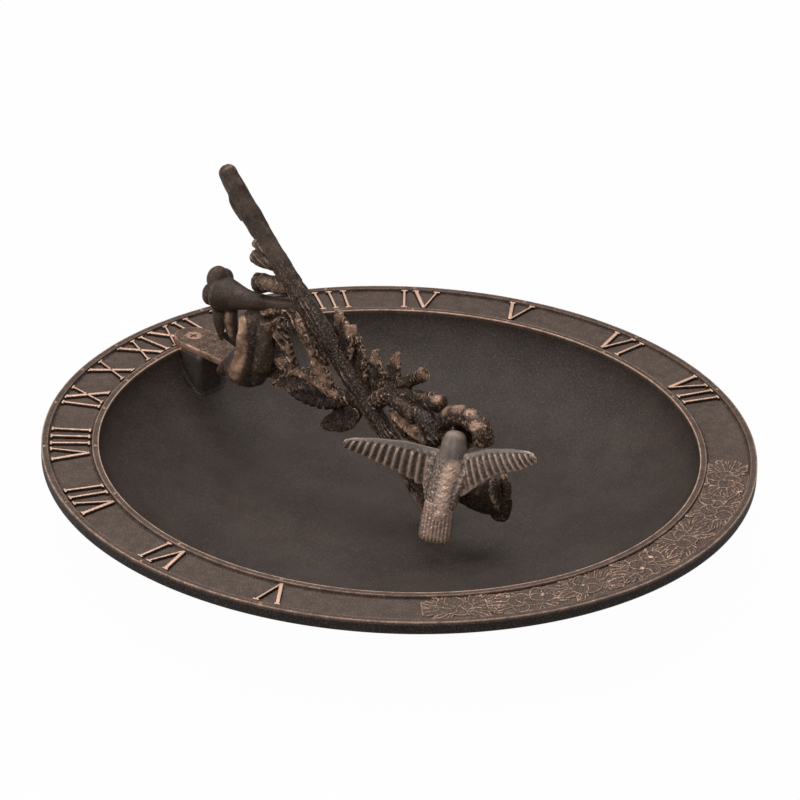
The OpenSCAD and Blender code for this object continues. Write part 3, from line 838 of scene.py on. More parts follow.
def letter_bars(letter):
    """Strokes and serifs of a numeral's letter: start, end and width."""
    top = NUMERAL_H / 2 - 0.8
    half = LETTER_W / 2
    thick, thin, foot, reach = STROKE_W * 1.5, STROKE_W * 0.75, 1.5, 2.1
    if letter == "I":
        return [((0, -top), (0, top), STROKE_W), ((-reach, top), (reach, top), foot),
                ((-reach, -top), (reach, -top), foot)]
    if letter == "V":
        return [((-half, top), (0, -top), thick), ((half, top), (0, -top), thin),
                ((-half - reach, top), (-half + reach, top), foot),
                ((half - reach, top), (half + reach, top), foot)]
    serifs = [((x - reach, y), (x + reach, y), foot) for x in (-half, half) for y in (-top, top)]
    return [((-half, top), (half, -top), thick), ((half, top), (-half, -top), thin)] + serifs


def letter_pitch(letter):
    return STROKE_PITCH if letter == "I" else LETTER_W + 4.5


PIP_R = 1.1
PIP_H = 0.9

# From five in the morning to seven in the evening
NUMERALS = ["V", "VI", "VII", "VIII", "IX", "X", "XI", "XII", "I", "II", "III", "IV", "V", "VI", "VII"]


def make_numerals():
    skin = Skin()
    tall = BEAD_H - 0.1
    for hour, name, shift in zip(range(-7, 8), NUMERALS, NUMERAL_SHIFT):
        run = sum(map(letter_pitch, name))
        at = -run / 2
        for letter in name:
            middle = at + letter_pitch(letter) / 2
            at += letter_pitch(letter)
            turn = -math.radians(hour_angle(hour) + shift) - middle / NUMERAL_R
            c, s = math.cos(turn), math.sin(turn)
            for start, end, width in letter_bars(letter):
                points, faces = bar(start, end, width, tall)
                x, y = points[:, 0], points[:, 1] + NUMERAL_R
                skin.add(np.column_stack([x * c - y * s, x * s + y * c, points[:, 2] + BAND_Z]), faces)
    numerals = object_from("raised_hour_numerals", skin)
    outward(numerals)
    mark_relief(numerals)
    on_top = spread((coords(numerals.data)[:, 2] - BAND_Z) / tall, 0.84, 0.98)
    store(numerals.data, "rubbed", 1.5 * on_top)
    # The sides lose their relief, so they show only the dark shades of the painted shade and no copper
    for layer in ("relief", "swell"):
        scale_layer(numerals.data, layer, on_top)
    finish_piece(numerals, NUMERAL_COPPER_AND_SHADE, "basin", "hour_numerals")


def make_pips():
    places = []
    for hour in range(-7, 8):
        if hour:
            turn = math.radians(hour_angle(hour))
            places += [(r * math.sin(turn), r * math.cos(turn), DIAL_Z - 0.4)
                       for r in (RIM_IN + BEAD_W / 2, OUTER_R - BEAD_W / 2)]
    pips = object_from("hour_line_pips", Skin().add(places, []))
    grow(pips, build_dial_pips(), {
        "Pip Radius": PIP_R * MM, "Pip Height": PIP_H * MM, "Finish": NUMERAL_COPPER_AND_SHADE})
    mark_relief(pips)
    store(pips.data, "rubbed", 0.5 * spread(coords(pips.data)[:, 2], DIAL_Z, DIAL_Z + 0.5))
    finish_piece(pips, NUMERAL_COPPER_AND_SHADE, "basin", "hour_pips")


# The garland on the south side of the band

GARLAND_HALF = 143.0
GARLAND_T = 12.6
GARLAND_H = 1.35
GARLAND_SUNK = -0.15
GARLAND_BUNCHES = 7
GARLAND_ROWS = 960
GARLAND_COLUMNS = 90


def stamp_leaf(height, s, t, base, turn, length, width, teeth):
    """Presses a toothed leaf with a raised outline and veins into a relief. s runs along the band and
    t outwards."""
    ds, dt = s - base[0], t - base[1]
    u = (ds * math.cos(turn) + dt * math.sin(turn)) / length
    v = dt * math.cos(turn) - ds * math.sin(turn)
    inside = (u > 0.001) & (u < 0.999)
    u = np.clip(u, 0.001, 0.999)
    tooth = (u * teeth) % 1
    half = width / 2 * np.sin(math.pi * u ** 0.8) ** 0.7 * (0.6 + 0.42 * tooth)
    within = half - np.abs(v)
    side = np.abs(v) / np.maximum(half, 0.1)
    vein = np.cos(TAU * (u * teeth - 0.75 * side))
    leaf = (0.42 + 0.4 * np.exp(-((within - 0.4) / 0.32) ** 2) + 0.42 * np.exp(-(v / 0.45) ** 2)
            + 0.05 * spread(vein, 0.55, 0.95))
    return np.where(inside & (within > 0), leaf, height)


def stamp_blossom(height, s, t, centre, radius, turn, petals=5):
    """Presses a blossom of round overlapping petals, each with a raised outline, into a relief."""
    for k in range(petals):
        angle = turn + k * TAU / petals
        ds = s - centre[0] - 0.52 * radius * math.cos(angle)
        dt = t - centre[1] - 0.52 * radius * math.sin(angle)
        within = 0.55 * radius - np.hypot(ds, dt)
        rays = np.cos(16 * np.arctan2(dt, ds))
        petal = (0.44 + 0.36 * np.exp(-((within - 0.4) / 0.32) ** 2) + 0.1 * rays * spread(within, 0.6, 1.4)
                 - 0.14 * spread(within, 1.0, 3.0))
        height = np.where(within > 0, petal, height)
    away = np.hypot(s - centre[0], t - centre[1])
    return np.where(away < 2.0, 0.5 + 0.4 * spread(-away, -2.0, -0.6), height)


def garland_relief(s, t):
    draw = np.random.default_rng(7)
    spots = np.stack([s, t, 0 * s], -1).reshape(-1, 3)
    stipple = rough(spots, 0.9, 91).reshape(s.shape)
    s = s + 1.5 * rough(spots, 6.0, 92).reshape(s.shape)
    t = t + 1.1 * rough(spots, 6.0, 93).reshape(s.shape)
    height = np.where(np.abs(s) < GARLAND_HALF - 10 + 5 * np.sin(t / 2.1), 0.16, GARLAND_SUNK)
    step = 2 * GARLAND_HALF / GARLAND_BUNCHES
    for i in range(GARLAND_BUNCHES):
        middle = -GARLAND_HALF + step * (i + 0.5)
        lift = 2.4 if i % 2 else -2.4
        for heading in (0, math.pi):
            for fan, length, width in ((0.72, 19, 11), (-0.74, 19, 11), (0.26, 25, 12), (-0.28, 25, 12)):
                turn = heading + fan + draw.uniform(-0.1, 0.1)
                root = (middle + 1.5 * math.cos(heading), lift * 0.4)
                height = stamp_leaf(height, s, t, root, turn, length * draw.uniform(0.94, 1.04), width, 5)
        height = stamp_blossom(height, s, t, (middle - 3.0, lift), 10.0, draw.uniform(0, TAU))
        if i % 2:
            height = stamp_blossom(height, s, t, (middle + 10, -lift * 1.5), 7.6, draw.uniform(0, TAU),
                                   petals=4)
    return height + np.where(height > 0, 0.1 * stipple, 0)


def make_garland():
    s = np.linspace(-GARLAND_HALF - 2, GARLAND_HALF + 2, GARLAND_ROWS)
    t = np.linspace(-GARLAND_T, GARLAND_T, GARLAND_COLUMNS)
    ss, tt = np.meshgrid(s, t, indexing="ij")
    outside = (np.abs(ss) > GARLAND_HALF + 1) | (np.abs(tt) > GARLAND_T - 0.2)
    height = np.where(outside, GARLAND_SUNK, garland_relief(ss, tt)) * GARLAND_H
    turn = -math.pi / 2 + ss / NUMERAL_R
    radius = NUMERAL_R + tt
    top = np.stack([radius * np.cos(turn), radius * np.sin(turn), BAND_Z + height], -1)
    rim = top[:, [-1, 0]].copy()
    rim[:, :, 2] = BAND_Z - 0.45
    rings = np.concatenate([top, rim], axis=1)
    garland = object_from("leaf_and_blossom_garland", Skin().add(*closed_rings(rings)))
    outward(garland)
    mark_relief(garland)
    points = coords(garland.data)
    crest = points[:, 2] - BAND_Z
    patchy = spread(rough(points, 5.0, 95), -0.3, 0.4)
    store(garland.data, "rubbed", 0.04 + (0.4 + 1.3 * patchy) * spread(crest, 0.92, 1.15))
    finish_piece(garland, RELIEF_FINISH, "basin", "leaf_garland")


# The vine

STEM = vine([0, 150, 125.5], [0, 142, 117], [0, 130, 105], [0, 116, 92.5], [0, 92, 71], [0, 60, 44.5],
            [0, 36, 23.5], [0, 16, 6.5], [0, 0, -7], [0, -16, -23], [0, -30, -38], [0, -44, -66])

# Along the stem, across it towards the east, and square to both
STEM_AXES = np.array([unit([0, 150, 132.5]), [1, 0, 0], unit([0, -132.5, 150])])


def balls_along(points, radius, strength, step=4.0):
    line, _ = smooth_line(points, step)
    return [(p, radius, strength) for p in line]


def rub(radius, strength, *points):
    """Rubbed balls along a curve through points given from the dial's centre."""
    return balls_along(vine(*points), radius, strength)


def above_dial(piece, heights):
    """How far each point has risen between two heights over the dial, from 0 to 1, or 0 without heights."""
    z = coords(piece.data)[:, 2] - DIAL_Z
    return spread(z, *heights) if heights else np.zeros(len(z))


FURROW_CELL = (15, 2.4, 2.4)


def bark(piece, depth, seed, lumps, calm):
    """Long furrows along the wood, and soft lumps. The furrows fade between the two heights in calm."""
    points = coords(piece.data)
    local = points @ STEM_AXES.T
    wander = local + np.column_stack([rough(points, 9, seed + 1), rough(points, 9, seed + 2),
                                      rough(points, 9, seed + 3)]) * 1.6
    furrows = 0.35 - np.abs(rough(wander, FURROW_CELL, seed)) * 1.6
    deep = depth * (1 - 0.7 * above_dial(piece, calm))
    push(piece, deep * np.clip(furrows, -0.6, 0.35) + lumps * rough(points, 6, seed + 4))


def cast_skin(piece, seed, pebbles, lumps):
    """The uneven skin of sand-cast metal: soft lumps, small pebbles and a few sharp crests."""
    points = coords(piece.data)
    crests = 0.5 - np.abs(rough(points, 3.1, seed + 2)) * 1.8
    push(piece, lumps * rough(points, 5.5, seed) + pebbles * rough(points, 1.5, seed + 1)
         + 0.7 * pebbles * np.clip(crests, -0.4, 0.5))


def dimple(piece, centre, direction, radius, depth):
    """Sinks the end of a cut shoot or bud, and leaves a rim round it."""
    points = coords(piece.data)
    d = unit(direction)
    away = points - np.asarray(centre, float)
    ahead = away @ d
    aside = np.linalg.norm(away - ahead[:, None] * d, axis=1)
    sink = depth * spread(-aside / radius, -1, -0.6) * (ahead > -1.5) * (ahead < 2 * radius)
    set_coords(piece.data, points - sink[:, None] * d)


def cut_level(piece, z):
    """Cuts a piece off below a height and closes it flat."""
    work = bmesh.new()
    work.from_mesh(piece.data)
    cut = bmesh.ops.bisect_plane(work, geom=work.verts[:] + work.edges[:] + work.faces[:],
                                 plane_co=(0, 0, z * MM), plane_no=(0, 0, -1), clear_outer=True)
    border = [e for e in cut["geom_cut"] if isinstance(e, bmesh.types.BMEdge)]
    bmesh.ops.holes_fill(work, edges=border, sides=0)
    work.to_mesh(piece.data)
    work.free()


def make_wood(name, runs, node, depth, seed, rubbed, lumps, pebbles, voxel=0.45, rounds=4, level=None,
              cuts=(), calm=None, shade=0.3):
    """A piece of branches with furrows of a depth. runs lists (points, radii, blunt ends), and cuts
    lists the sunk ends: centre, direction, radius and depth. Furrows, pebbles and grain fade between
    the two heights in calm, and shade paints shade on what is below. A level cuts the piece off under it."""
    skin = Skin()
    for points, radii, blunt in runs:
        skin.add(*tube(points, radii, sides=40, step=1.0, blunt=blunt))
    wood = object_from(name, skin)
    grown_together(wood, voxel, rounds)
    for hollow in cuts:
        dimple(wood, *hollow)
    bark(wood, depth, seed, lumps=lumps, calm=calm)
    share = 1 - 0.7 * above_dial(wood, calm)
    cast_skin(wood, seed + 7, pebbles=pebbles * share, lumps=0.15)
    if level is not None:
        cut_level(wood, level)
    mark_relief(wood, rubbed=rubbed)
    above = above_dial(wood, calm)
    scale_layer(wood.data, "coarse", 1 - 0.65 * above)
    # Painted shade below the calm heights: a lower swell darkens it
    shift_layer(wood.data, "swell", -shade * (1 - above))
    finish_piece(wood, VINE_FINISH, "gnomon", node)


def make_stem():
    flap = vine([-4.2, 145, 115.5], [-4.8, 141.5, 110.5], [-4.8, 137.4, 105.8], [-4.0, 133.5, 101.2])
    radii = [5.6, 6.4, 6.4, 5.9, 6.2, 6.4, 6.2, 6.0, 5.6, 5.6, 5.9, 6.4]
    # Copper rubbed down the west side, which also paints a highlight there
    rubbed = (rub(3.5, 0.28, [-6, 138, 106], [-6, 112, 82])
              + rub(4, 0.55, [-7, 104, 76], [-7, 60, 38], [-7, 20, 6], [-6, -10, -20])
              + rub(6, 0.6, [-6, -18, -28], [-5, -34, -48]))
    make_wood("vine_stem", [(STEM, radii, (0.9, 0)), (flap, [0.9, 1.5, 1.5, 0.9], (0.9, 0.9))],
              "gnomon_stem", voxel=0.5, rounds=6, depth=0.5, seed=11, rubbed=rubbed, lumps=0.45,
              pebbles=0.2, level=FOOT_OF_STEM_Z, calm=(70, 92), shade=0.75)


def make_branches():
    rubbed = (rub(4, 0.6, [-8, 112, 30], [-6, 92, 20], [-6, 50, 16])
              + rub(3, 0.9, [-8, 88, 34], [-8, 86, 22])
              + rub(3, 0.9, [-9, 114, 46], [-8, 102, 53])
              + rub(5, 0.5, [-6, 78, 50], [-5, 70, 40])
              + rub(4, 0.4, [-3, 2, 2], [-2, -30, -4]))
    twig = vine([-7, 114, 45.5], [-7, 104, 51.5], [-5, 95, 54], [-3, 83, 56], [0, 78, 57])
    beads, _ = smooth_line(vine([-6, 99, 53.4], [-5, 95, 54.2], [-3, 84, 56.2]), 2.3)
    ribs = [([p, p + [0, -0.2, 0.1]], [3.3, 3.3], (1, 1)) for p in beads]
    make_wood("side_shoots", ribs + [
        (vine([-6, 106, 27], [-4, 92, 17], [-2, 72, 18], [-2, 50, 14], [0, 34, 16]),
         [4.2, 3.8, 4.2, 4.4, 4.9], (1, 1)),
        (vine([-3, 86, 17], [-5, 88, 28], [-6, 90, 36], [-5, 97, 46]), [3.6, 2.6, 2.4, 3.2], (1, 1)),
        (twig, [2.4, 2.6, 2.8, 3.2, 3.6], (0.25, 1)),
        (vine([-4, 84, 53], [-4, 78, 48], [-3, 71, 41], [-2, 62, 33]), [4.2, 5.2, 4.8, 3.6], (1, 1)),
        (vine([-4, 78, 48], [-5, 90, 47], [-5, 100, 42]), [4.4, 3.4, 3.4], (1, 1)),
        (vine([0, 26, 14], [3, 17, 24], [4, 10, 27]), [5.2, 5.0, 4.6], (1, 1)),
        (vine([0, 2, -3], [2, -18, -2], [1, -32, -8], [0, -42, -11]), [5.2, 5.0, 5.0, 5.6], (1, 1)),
        (vine([2, -18, -2], [4, -24, 14]), [5.0, 4.7], (1, 1)),
    ], "side_branches", depth=0.8, seed=23, rubbed=rubbed, lumps=0.45, pebbles=0.4,
        cuts=[(twig[0], twig[0] - twig[1], 2.0, 1.2)])


def make_upper_buds():
    fat = vine([0, 92, 70], [-5, 106, 69], [-7, 115, 66.5])
    make_wood("upper_bud_shoots", [
        (vine([0, 102, 80], [-5, 112, 81.5], [-6, 118, 83]), [4.4, 3.9, 4.5], (1, 0.8)),
        (vine([0, 104, 83], [-6, 119, 91.5]), [3.4, 2.6], (1, 1)),
        (fat, [5.6, 5.2, 6.6], (1, 0.45)),
    ], "upper_buds", depth=0.5, seed=31, rubbed=rub(5, 0.45, [-9, 108, 71], [-8, 96, 68]), lumps=0.45,
        pebbles=0.22, cuts=[(fat[2], fat[2] - fat[1], 5.0, 0.9)])


def make_cluster_buds():
    short = vine([4, 15, 28], [7, 2, 38], [8.5, -10, 47.5])
    long = vine([4, 12, 27], [4, -8, 33], [4.5, -27, 36])
    ends = ([(short[2], 5.0, 1.1), (long[2] + [-2, 0, 3], 4.5, 1.0)]
            + rub(3, 0.5, [3, 6, 42], [5, -8, 51]) + rub(3.5, 0.5, [0, -4, 38], [0, -24, 41])
            + rub(3.5, 0.4, [-3, 6, 31], [-4, -14, 33]))
    make_wood("cluster_bud_shoots", [
        (short, [3.6, 3.7, 4.5], (1, 0.3)),
        (long, [4.4, 4.6, 5.9], (1, 0.7)),
        (vine([2, 8, 25], [0, -4, 25.5], [-2, -14, 24.5]), [4.6, 5.8, 5.4], (1, 0.9)),
        (vine([-1, -14, 27], [-3, -24, 25], [-4.5, -34, 18]), [4.6, 6.2, 6.0], (1, 0.7)),
    ], "cluster_buds", depth=0.6, seed=41, rubbed=ends, lumps=0.5, pebbles=0.25, shade=0.75,
        cuts=[(short[2], short[2] - short[1], 3.4, 1.6)])


# Leaves

LEAF_BOW = 1.5
LEAF_FOLD = 0.16


def leaf_skin(base, tip, width, teeth, across, thick, deep=0.9, saw=0.3):
    """A thick cast leaf with a toothed edge, a raised midrib and a ridge to each tooth. saw
    sharpens the teeth."""
    place = placed(base, tip - base, across)
    length = np.linalg.norm(tip - base)
    rows, columns = 18 * teeth + 1, 25
    u = np.linspace(0.004, 0.996, rows)[:, None]
    v = np.sin(np.linspace(-math.pi / 2, math.pi / 2, columns))[None]
    tooth = (u * teeth) % 1
    blunt = np.abs(np.sin(math.pi * u * teeth)) ** 0.6
    edge = 1 - 0.2 * (1 - saw) * (1 - blunt) - 0.34 * saw * (1 - tooth ** 1.2)
    half = np.maximum(1.2, width / 2 * np.sin(math.pi * u ** 0.8) ** 0.62) * edge
    x = length * u + 0 * v
    y = half * v
    middle = LEAF_BOW * np.sin(math.pi * u) - LEAF_FOLD * np.abs(y)
    skin_depth = thick / 2 * (1 - np.abs(v) ** 6) ** 0.5 * (0.72 + 0.28 * np.sin(math.pi * u ** 0.6))
    ridge = np.cos(TAU * (u * teeth - 0.5 - 0.55 * np.abs(v))) * spread(np.abs(v), 0.08, 0.3)
    rib = np.exp(-(y / 1.1) ** 2)
    points, faces = sheet(surface(x, y, middle + skin_depth + 0.6 * deep * ridge + deep * rib - deep * 0.3),
                          surface(x, y, middle - skin_depth - 0.25 * deep * ridge))
    return to_world(points, place), faces


def make_leaves(name, leaves, node, rubbed, pebbles, shade=0.0, coarse=1.0):
    """Leaves cast together. shade paints shade on their faces, darker as if they lay deeper."""
    skin = Skin()
    for leaf in leaves:
        skin.add(*leaf_skin(**leaf))
    made = object_from(name, skin)
    outward(made)
    grown_together(made, 0.42, 2)
    cast_skin(made, len(name), pebbles=pebbles, lumps=0.3)
    mark_relief(made, rubbed=rubbed)
    # Painted shade on the faces
    shift_layer(made.data, "swell", -shade)
    scale_layer(made.data, "coarse", coarse)
    finish_piece(made, VINE_FINISH, "gnomon", node)


def leaf_spec(base, tip, width, teeth, across, **more):
    ends = vine(base, tip)
    return dict(base=ends[0], tip=ends[1], width=width, teeth=teeth, across=across, **more)


def make_all_leaves():
    make_leaves("fan_of_petals", [
        leaf_spec((-3, 113, 47), (-6, 90, 31), 19, 5, (0.1, 0.5, 0.85), thick=4.4, deep=1.5),
        leaf_spec((-4, 104, 48), (-8, 106, 29), 12, 4, (0, 1, 0.1), thick=3.6, deep=1.3)], "fan_leaf",
        rub(7, 0.6, [-10, 106, 40], [-8, 92, 44]), pebbles=0.15)
    make_leaves("leaf_behind_stem", [
        leaf_spec((-3, 87, 56), (-6, 66, 35), 16, 4, (0, 0.6, 0.8), thick=4.4, deep=1.2)], "stem_leaf",
        rub(6, 0.5, [-8, 82, 52], [-8, 68, 38]), pebbles=0.2)
    make_leaves("shaded_leaf_under_flower", [
        leaf_spec((-5, 86, 19), (-8, 118, 9), 15, 4, (0.25, 0.1, 0.95), thick=4.4, deep=1.1)], "shaded_leaf",
        rub(4, 0.4, [-9, 112, 17], [-7, 88, 24]), pebbles=0.2)
    make_leaves("low_side_leaf", [leaf_spec((-2, 73, 17), (-10, 98, 5), 13, 3, (0.3, 0.3, 0.9), thick=4.2)],
                "low_leaf", rub(4, 0.5, [-8, 80, 21], [-11, 94, 12]), pebbles=0.2)
    make_leaves("long_toothed_leaf", [
        leaf_spec((-2, 42, 13), (-7, 86, 4), 16, 8, (0.3, 0.05, 0.95), thick=6.4, deep=1.0, saw=0.6)],
        "long_serrated_leaf", rub(3.0, 1.2, [-6, 46, 22], [-7, 66, 18], [-8, 83, 12]), pebbles=0.14,
        shade=1.1, coarse=0.5)
    make_leaves("broad_dark_leaf", [leaf_spec((-2, 31, 9), (-6, 60, -9), 17, 3, (0.25, 0.2, 0.9), thick=4.4)],
                "broad_leaf", rub(3, 0.4, [-4, 34, 16], [-11, 54, 4]), pebbles=0.14,
                shade=0.8)
    make_leaves("spiky_upright_leaf", [
        leaf_spec((-3, 54, 15), (-5, 72, 35), 15, 5, (0, -0.8, 0.6), thick=4.0, deep=1.3, saw=0.7)],
        "spiky_leaf", rub(7, 0.8, [-6, 58, 20], [-7, 71, 34]), pebbles=0.2)
    upright = dict(thick=4.6, deep=1.3, saw=0.35)
    make_leaves("east_side_leaves", [
        leaf_spec((2, 46, 36), (8, 62, 64), 17, 4, (0, -0.8, 0.6), **upright),
        leaf_spec((3, 34, 24), (8, 50, 58), 15, 5, (0, -0.8, 0.6), **upright),
        leaf_spec((4, 24, 18), (9, 31, 48), 14, 5, (0, -0.9, 0.3), **upright),
        leaf_spec((5, 16, 26), (10, 14, 52), 13, 4, (0.2, -0.9, 0), **upright),
    ], "east_leaves", [(p, 7, 0.8) for p in vine([6, 49, 56], [6, 31, 44], [7, 14, 50], [6, 61, 62])],
        pebbles=0.25)
    make_leaves("mottled_cluster_leaf", [
        leaf_spec((-2, 7, 20), (-5, -27, 12), 19, 4, (0, 0.3, 0.9), thick=4.0, deep=1.1)],
        "cluster_leaf", rub(6, 0.7, [-7, 2, 22], [-8, -24, 16]), pebbles=0.4)


# Flowers

BELL_DEPTH = 0.55
BELL_LOBES = 5


def bell(base, mouth, r_base, r_mouth, lobe, curl, petal):
    """A trumpet flower with petals that turn back at the lip, open at the mouth."""
    line = mouth - base
    length = np.linalg.norm(line)
    ahead = unit(line)
    across = unit(np.cross(ahead, (0.1, 0.2, 1.0)))
    third = np.cross(ahead, across)
    around = np.arange(80) * TAU / 80
    petals = 0.5 + 0.5 * np.cos(BELL_LOBES * around)
    out_place = np.linspace(0, 1, 44)
    widen = r_base + (r_mouth - r_base) * out_place ** 2.2
    flare = spread(out_place, 0.72, 1.0)
    rings = []

    def ring(radius, place):
        spoke = np.cos(around)[:, None] * across + np.sin(around)[:, None] * third
        rings.append(base + ahead * np.asarray(place)[:, None] + spoke * np.asarray(radius)[:, None])

    for p, r, f in zip(out_place, widen, flare):
        ribs = 1 + 0.035 * np.cos(BELL_LOBES * around) * (1 - f)
        ring(r * ribs * (1 + 0.12 * f + lobe * f * petals), length * p - curl * f ** 2 * petals)
    rim_r = r_mouth * (1.12 + lobe * petals)
    rim_z = length - curl * petals
    for bend in np.radians([40, 90, 140]):
        ring(rim_r - petal / 2 * (1 - math.cos(bend)), rim_z + petal / 2 * math.sin(bend))
    for back in np.linspace(0, 1, 20)[1:]:
        f = spread(1 - back, 0.6, 1.0)
        left = 1 - back * BELL_DEPTH
        inner = np.maximum(0.8, (r_base + (r_mouth - r_base) * left ** 2.2) * (1 + 0.12 * f) - petal)
        ring(inner * (1 + lobe * f * petals) * (1 - back ** 6), length * left - curl * f ** 2 * petals)
    return closed_rings(rings)


def pad(centre, across, up, radii):
    """A rounded petal: a flattened ball with its own three radii."""
    x = unit(across)
    z = unit(np.cross(x, up))
    axes = np.array([x, np.cross(z, x), z])
    lean = np.linspace(-math.pi / 2, math.pi / 2, 19)[1:-1]
    turn = np.arange(32) * TAU / 32
    rings = [np.column_stack([np.cos(b) * np.cos(turn), np.cos(b) * np.sin(turn), np.full(32, math.sin(b))])
             for b in lean]
    points, faces = closed_rings(rings)
    return np.asarray(centre, float) + (points * radii) @ axes, faces


def make_flower(name, skins, node, seed, rubbed, pebbles, rounds=4, lumps=0.35, cuts=(), coarse=1.0,
                finish=VINE_FINISH):
    """A flower of skins cast together. cuts lists its hollows: centre, direction, radius and depth."""
    skin = Skin()
    for points, faces in skins:
        skin.add(points, faces)
    flower = object_from(name, skin)
    outward(flower)
    grown_together(flower, 0.45, rounds)
    for hollow in cuts:
        dimple(flower, *hollow)
    cast_skin(flower, seed, pebbles=pebbles, lumps=lumps)
    mark_relief(flower, rubbed=rubbed)
    scale_layer(flower.data, "coarse", coarse)
    finish_piece(flower, finish, "gnomon", node)


def make_high_trumpet():
    throat = vine([0, 82, 61], [-4, 103, 56], [-7, 122, 52.5], [-9, 134, 51.5], [-10.5, 143, 50.8])
    high = [tube(throat, [4.2, 4.4, 6.0, 9.2, 11.4], sides=48, blunt=(1, 0.45)),
            pad(spot(-10.5, 146.5, 59.6), (0, 1, 0), (-1, 0, 0.3), (5.8, 7.4, 7.6)),
            pad(spot(-11.5, 149, 48.8), (0, 1, 0.2), (-1, 0, 0), (6.0, 7.6, 7.8)),
            pad(spot(-3, 148.5, 56), (0, 1, 0), (1, 0, 0.4), (5.4, 6.6, 7.0)),
            pad(spot(-4.5, 148.5, 43.5), (0, 1, 0), (1, 0, -0.4), (5.4, 6.6, 7.0)),
            tube(vine([-12, 143, 43], [-13, 142, 34], [-12.5, 140, 22]), [5.2, 4.2, 2.0], flat=0.7,
                 side=(1, 0.1, 0)),
            tube(vine([-9, 136, 42], [-10, 134.5, 33], [-9, 133, 24]), [5.0, 4.6, 3.0], flat=0.8,
                 side=(1, 0.1, 0))]
    make_flower("high_trumpet", high, "high_trumpet_flower", seed=5, pebbles=0.08, rounds=26, coarse=0.4,
                finish=FLOWER_FINISH,
                cuts=[(spot(-8, 152, 51), unit([0, 1, 0]), 6.5, 7.0)],
                rubbed=rub(5, 0.2, [-12, 126, 60], [-8, 100, 62])
                + rub(4, 0.9, [-14, 134, 40], [-14, 133, 27]))


def make_low_trumpet():
    column = vine([-7.5, 115, 42], [-8.2, 114.5, 35], [-8.5, 115, 26], [-8.5, 119, 14], [-8.5, 125, 3.5])
    low = [tube(column, [9.2, 8.2, 9.6, 11.2, 12.4], sides=48, blunt=(0.8, 0.2)),
           tube(vine([-10, 128, 14], [-11, 134, 6], [-11.5, 139.5, 0]), [4.4, 4.6, 3.8]),
           tube(vine([-15, 119, 44], [-17.4, 117.5, 33], [-17, 119, 22], [-17, 126, 7]),
                [2.6, 3.0, 3.4, 3.8]),
           tube(vine([-9, 106, 42], [-11, 104, 31], [-10.5, 106, 17], [-9, 112, 5]), [5.2, 5.6, 6.6, 5.6]),
           tube(vine([-6, 112, 28], [-5, 104, 26], [-4, 100, 24]), [8.0, 6.8, 4.8])]
    # The rub down the column's west side is copper wear and also a painted highlight
    make_flower("low_trumpet", low, "low_trumpet_flower", seed=9, lumps=0.7, rounds=24, pebbles=0.15,
                coarse=0.7, finish=FLOWER_FINISH,
                cuts=[(spot(-8.5, 126, 0), unit([0, 0.35, -0.94]), 8.5, 6.0)],
                rubbed=rub(5.6, 2.4, [-19.5, 118, 44], [-21, 116, 34], [-20.5, 116, 22], [-20.5, 121, 8])
                + rub(3, 0.6, [-16, 130, 40], [-15, 129, 26]))


def make_end_trumpet():
    neck = vine([0, -44, -12], [2.5, -56, -13.5], [5.5, -66, -12.5], [9, -72.5, -9])
    lip = vine([9.5, -75.5, 4], [10.5, -77.6, -4], [10, -77.3, -13], [8.5, -75.3, -19.5])
    end = [tube(neck, [5.2, 6.6, 9.2, 11.4], sides=48, blunt=(1, 0.3)), tube(lip, [2.6, 3.4, 4.6, 6.0])]
    make_flower("end_trumpet", end, "end_trumpet_flower", seed=13, pebbles=0.15, rounds=22, coarse=0.7,
                cuts=[(spot(13, -75, -7), unit([0.7, -0.7, 0]), 6.0, 6.0)],
                rubbed=rub(3.5, 1.4, [6, -81, 4], [5, -82, -6])
                + rub(4, 0.35, [-4, -54, -6], [-2, -64, -5]))


def make_bird_trumpet():
    base, mouth = vine([4, -24, 15], [-1, -52, 25])
    arch = tube(vine([-1, -35, 18], [-2, -38, 31], [-2.5, -47, 38.5], [-2.5, -59, 40.5], [-3, -67.5, 37.5],
                     [-3, -69.5, 31]), [5, 5.6, 6.4, 6.4, 6.4, 6.4], blunt=(0.9, 0.7))
    make_flower("bird_trumpet", [bell(base, mouth, 5.5, 9.0, lobe=0.02, curl=0.5, petal=2.8), arch],
                "bird_trumpet_flower", seed=17, lumps=0.8, pebbles=0.3,
                rubbed=[(p, 6, 1.0)
                        for p in vine([-6, -40, 41], [-5, -50, 46], [-6, -61, 47], [-8, -68, 41])])


# The hummingbird

NECK, RUMP = vine([-15.5, -57.5, 21], [-27, -59, -13])

# Heights between which the smooth head turns into the rough plumage of the back
PLUMAGE_TOP = DIAL_Z + 27
PLUMAGE_FULL = DIAL_Z + 13


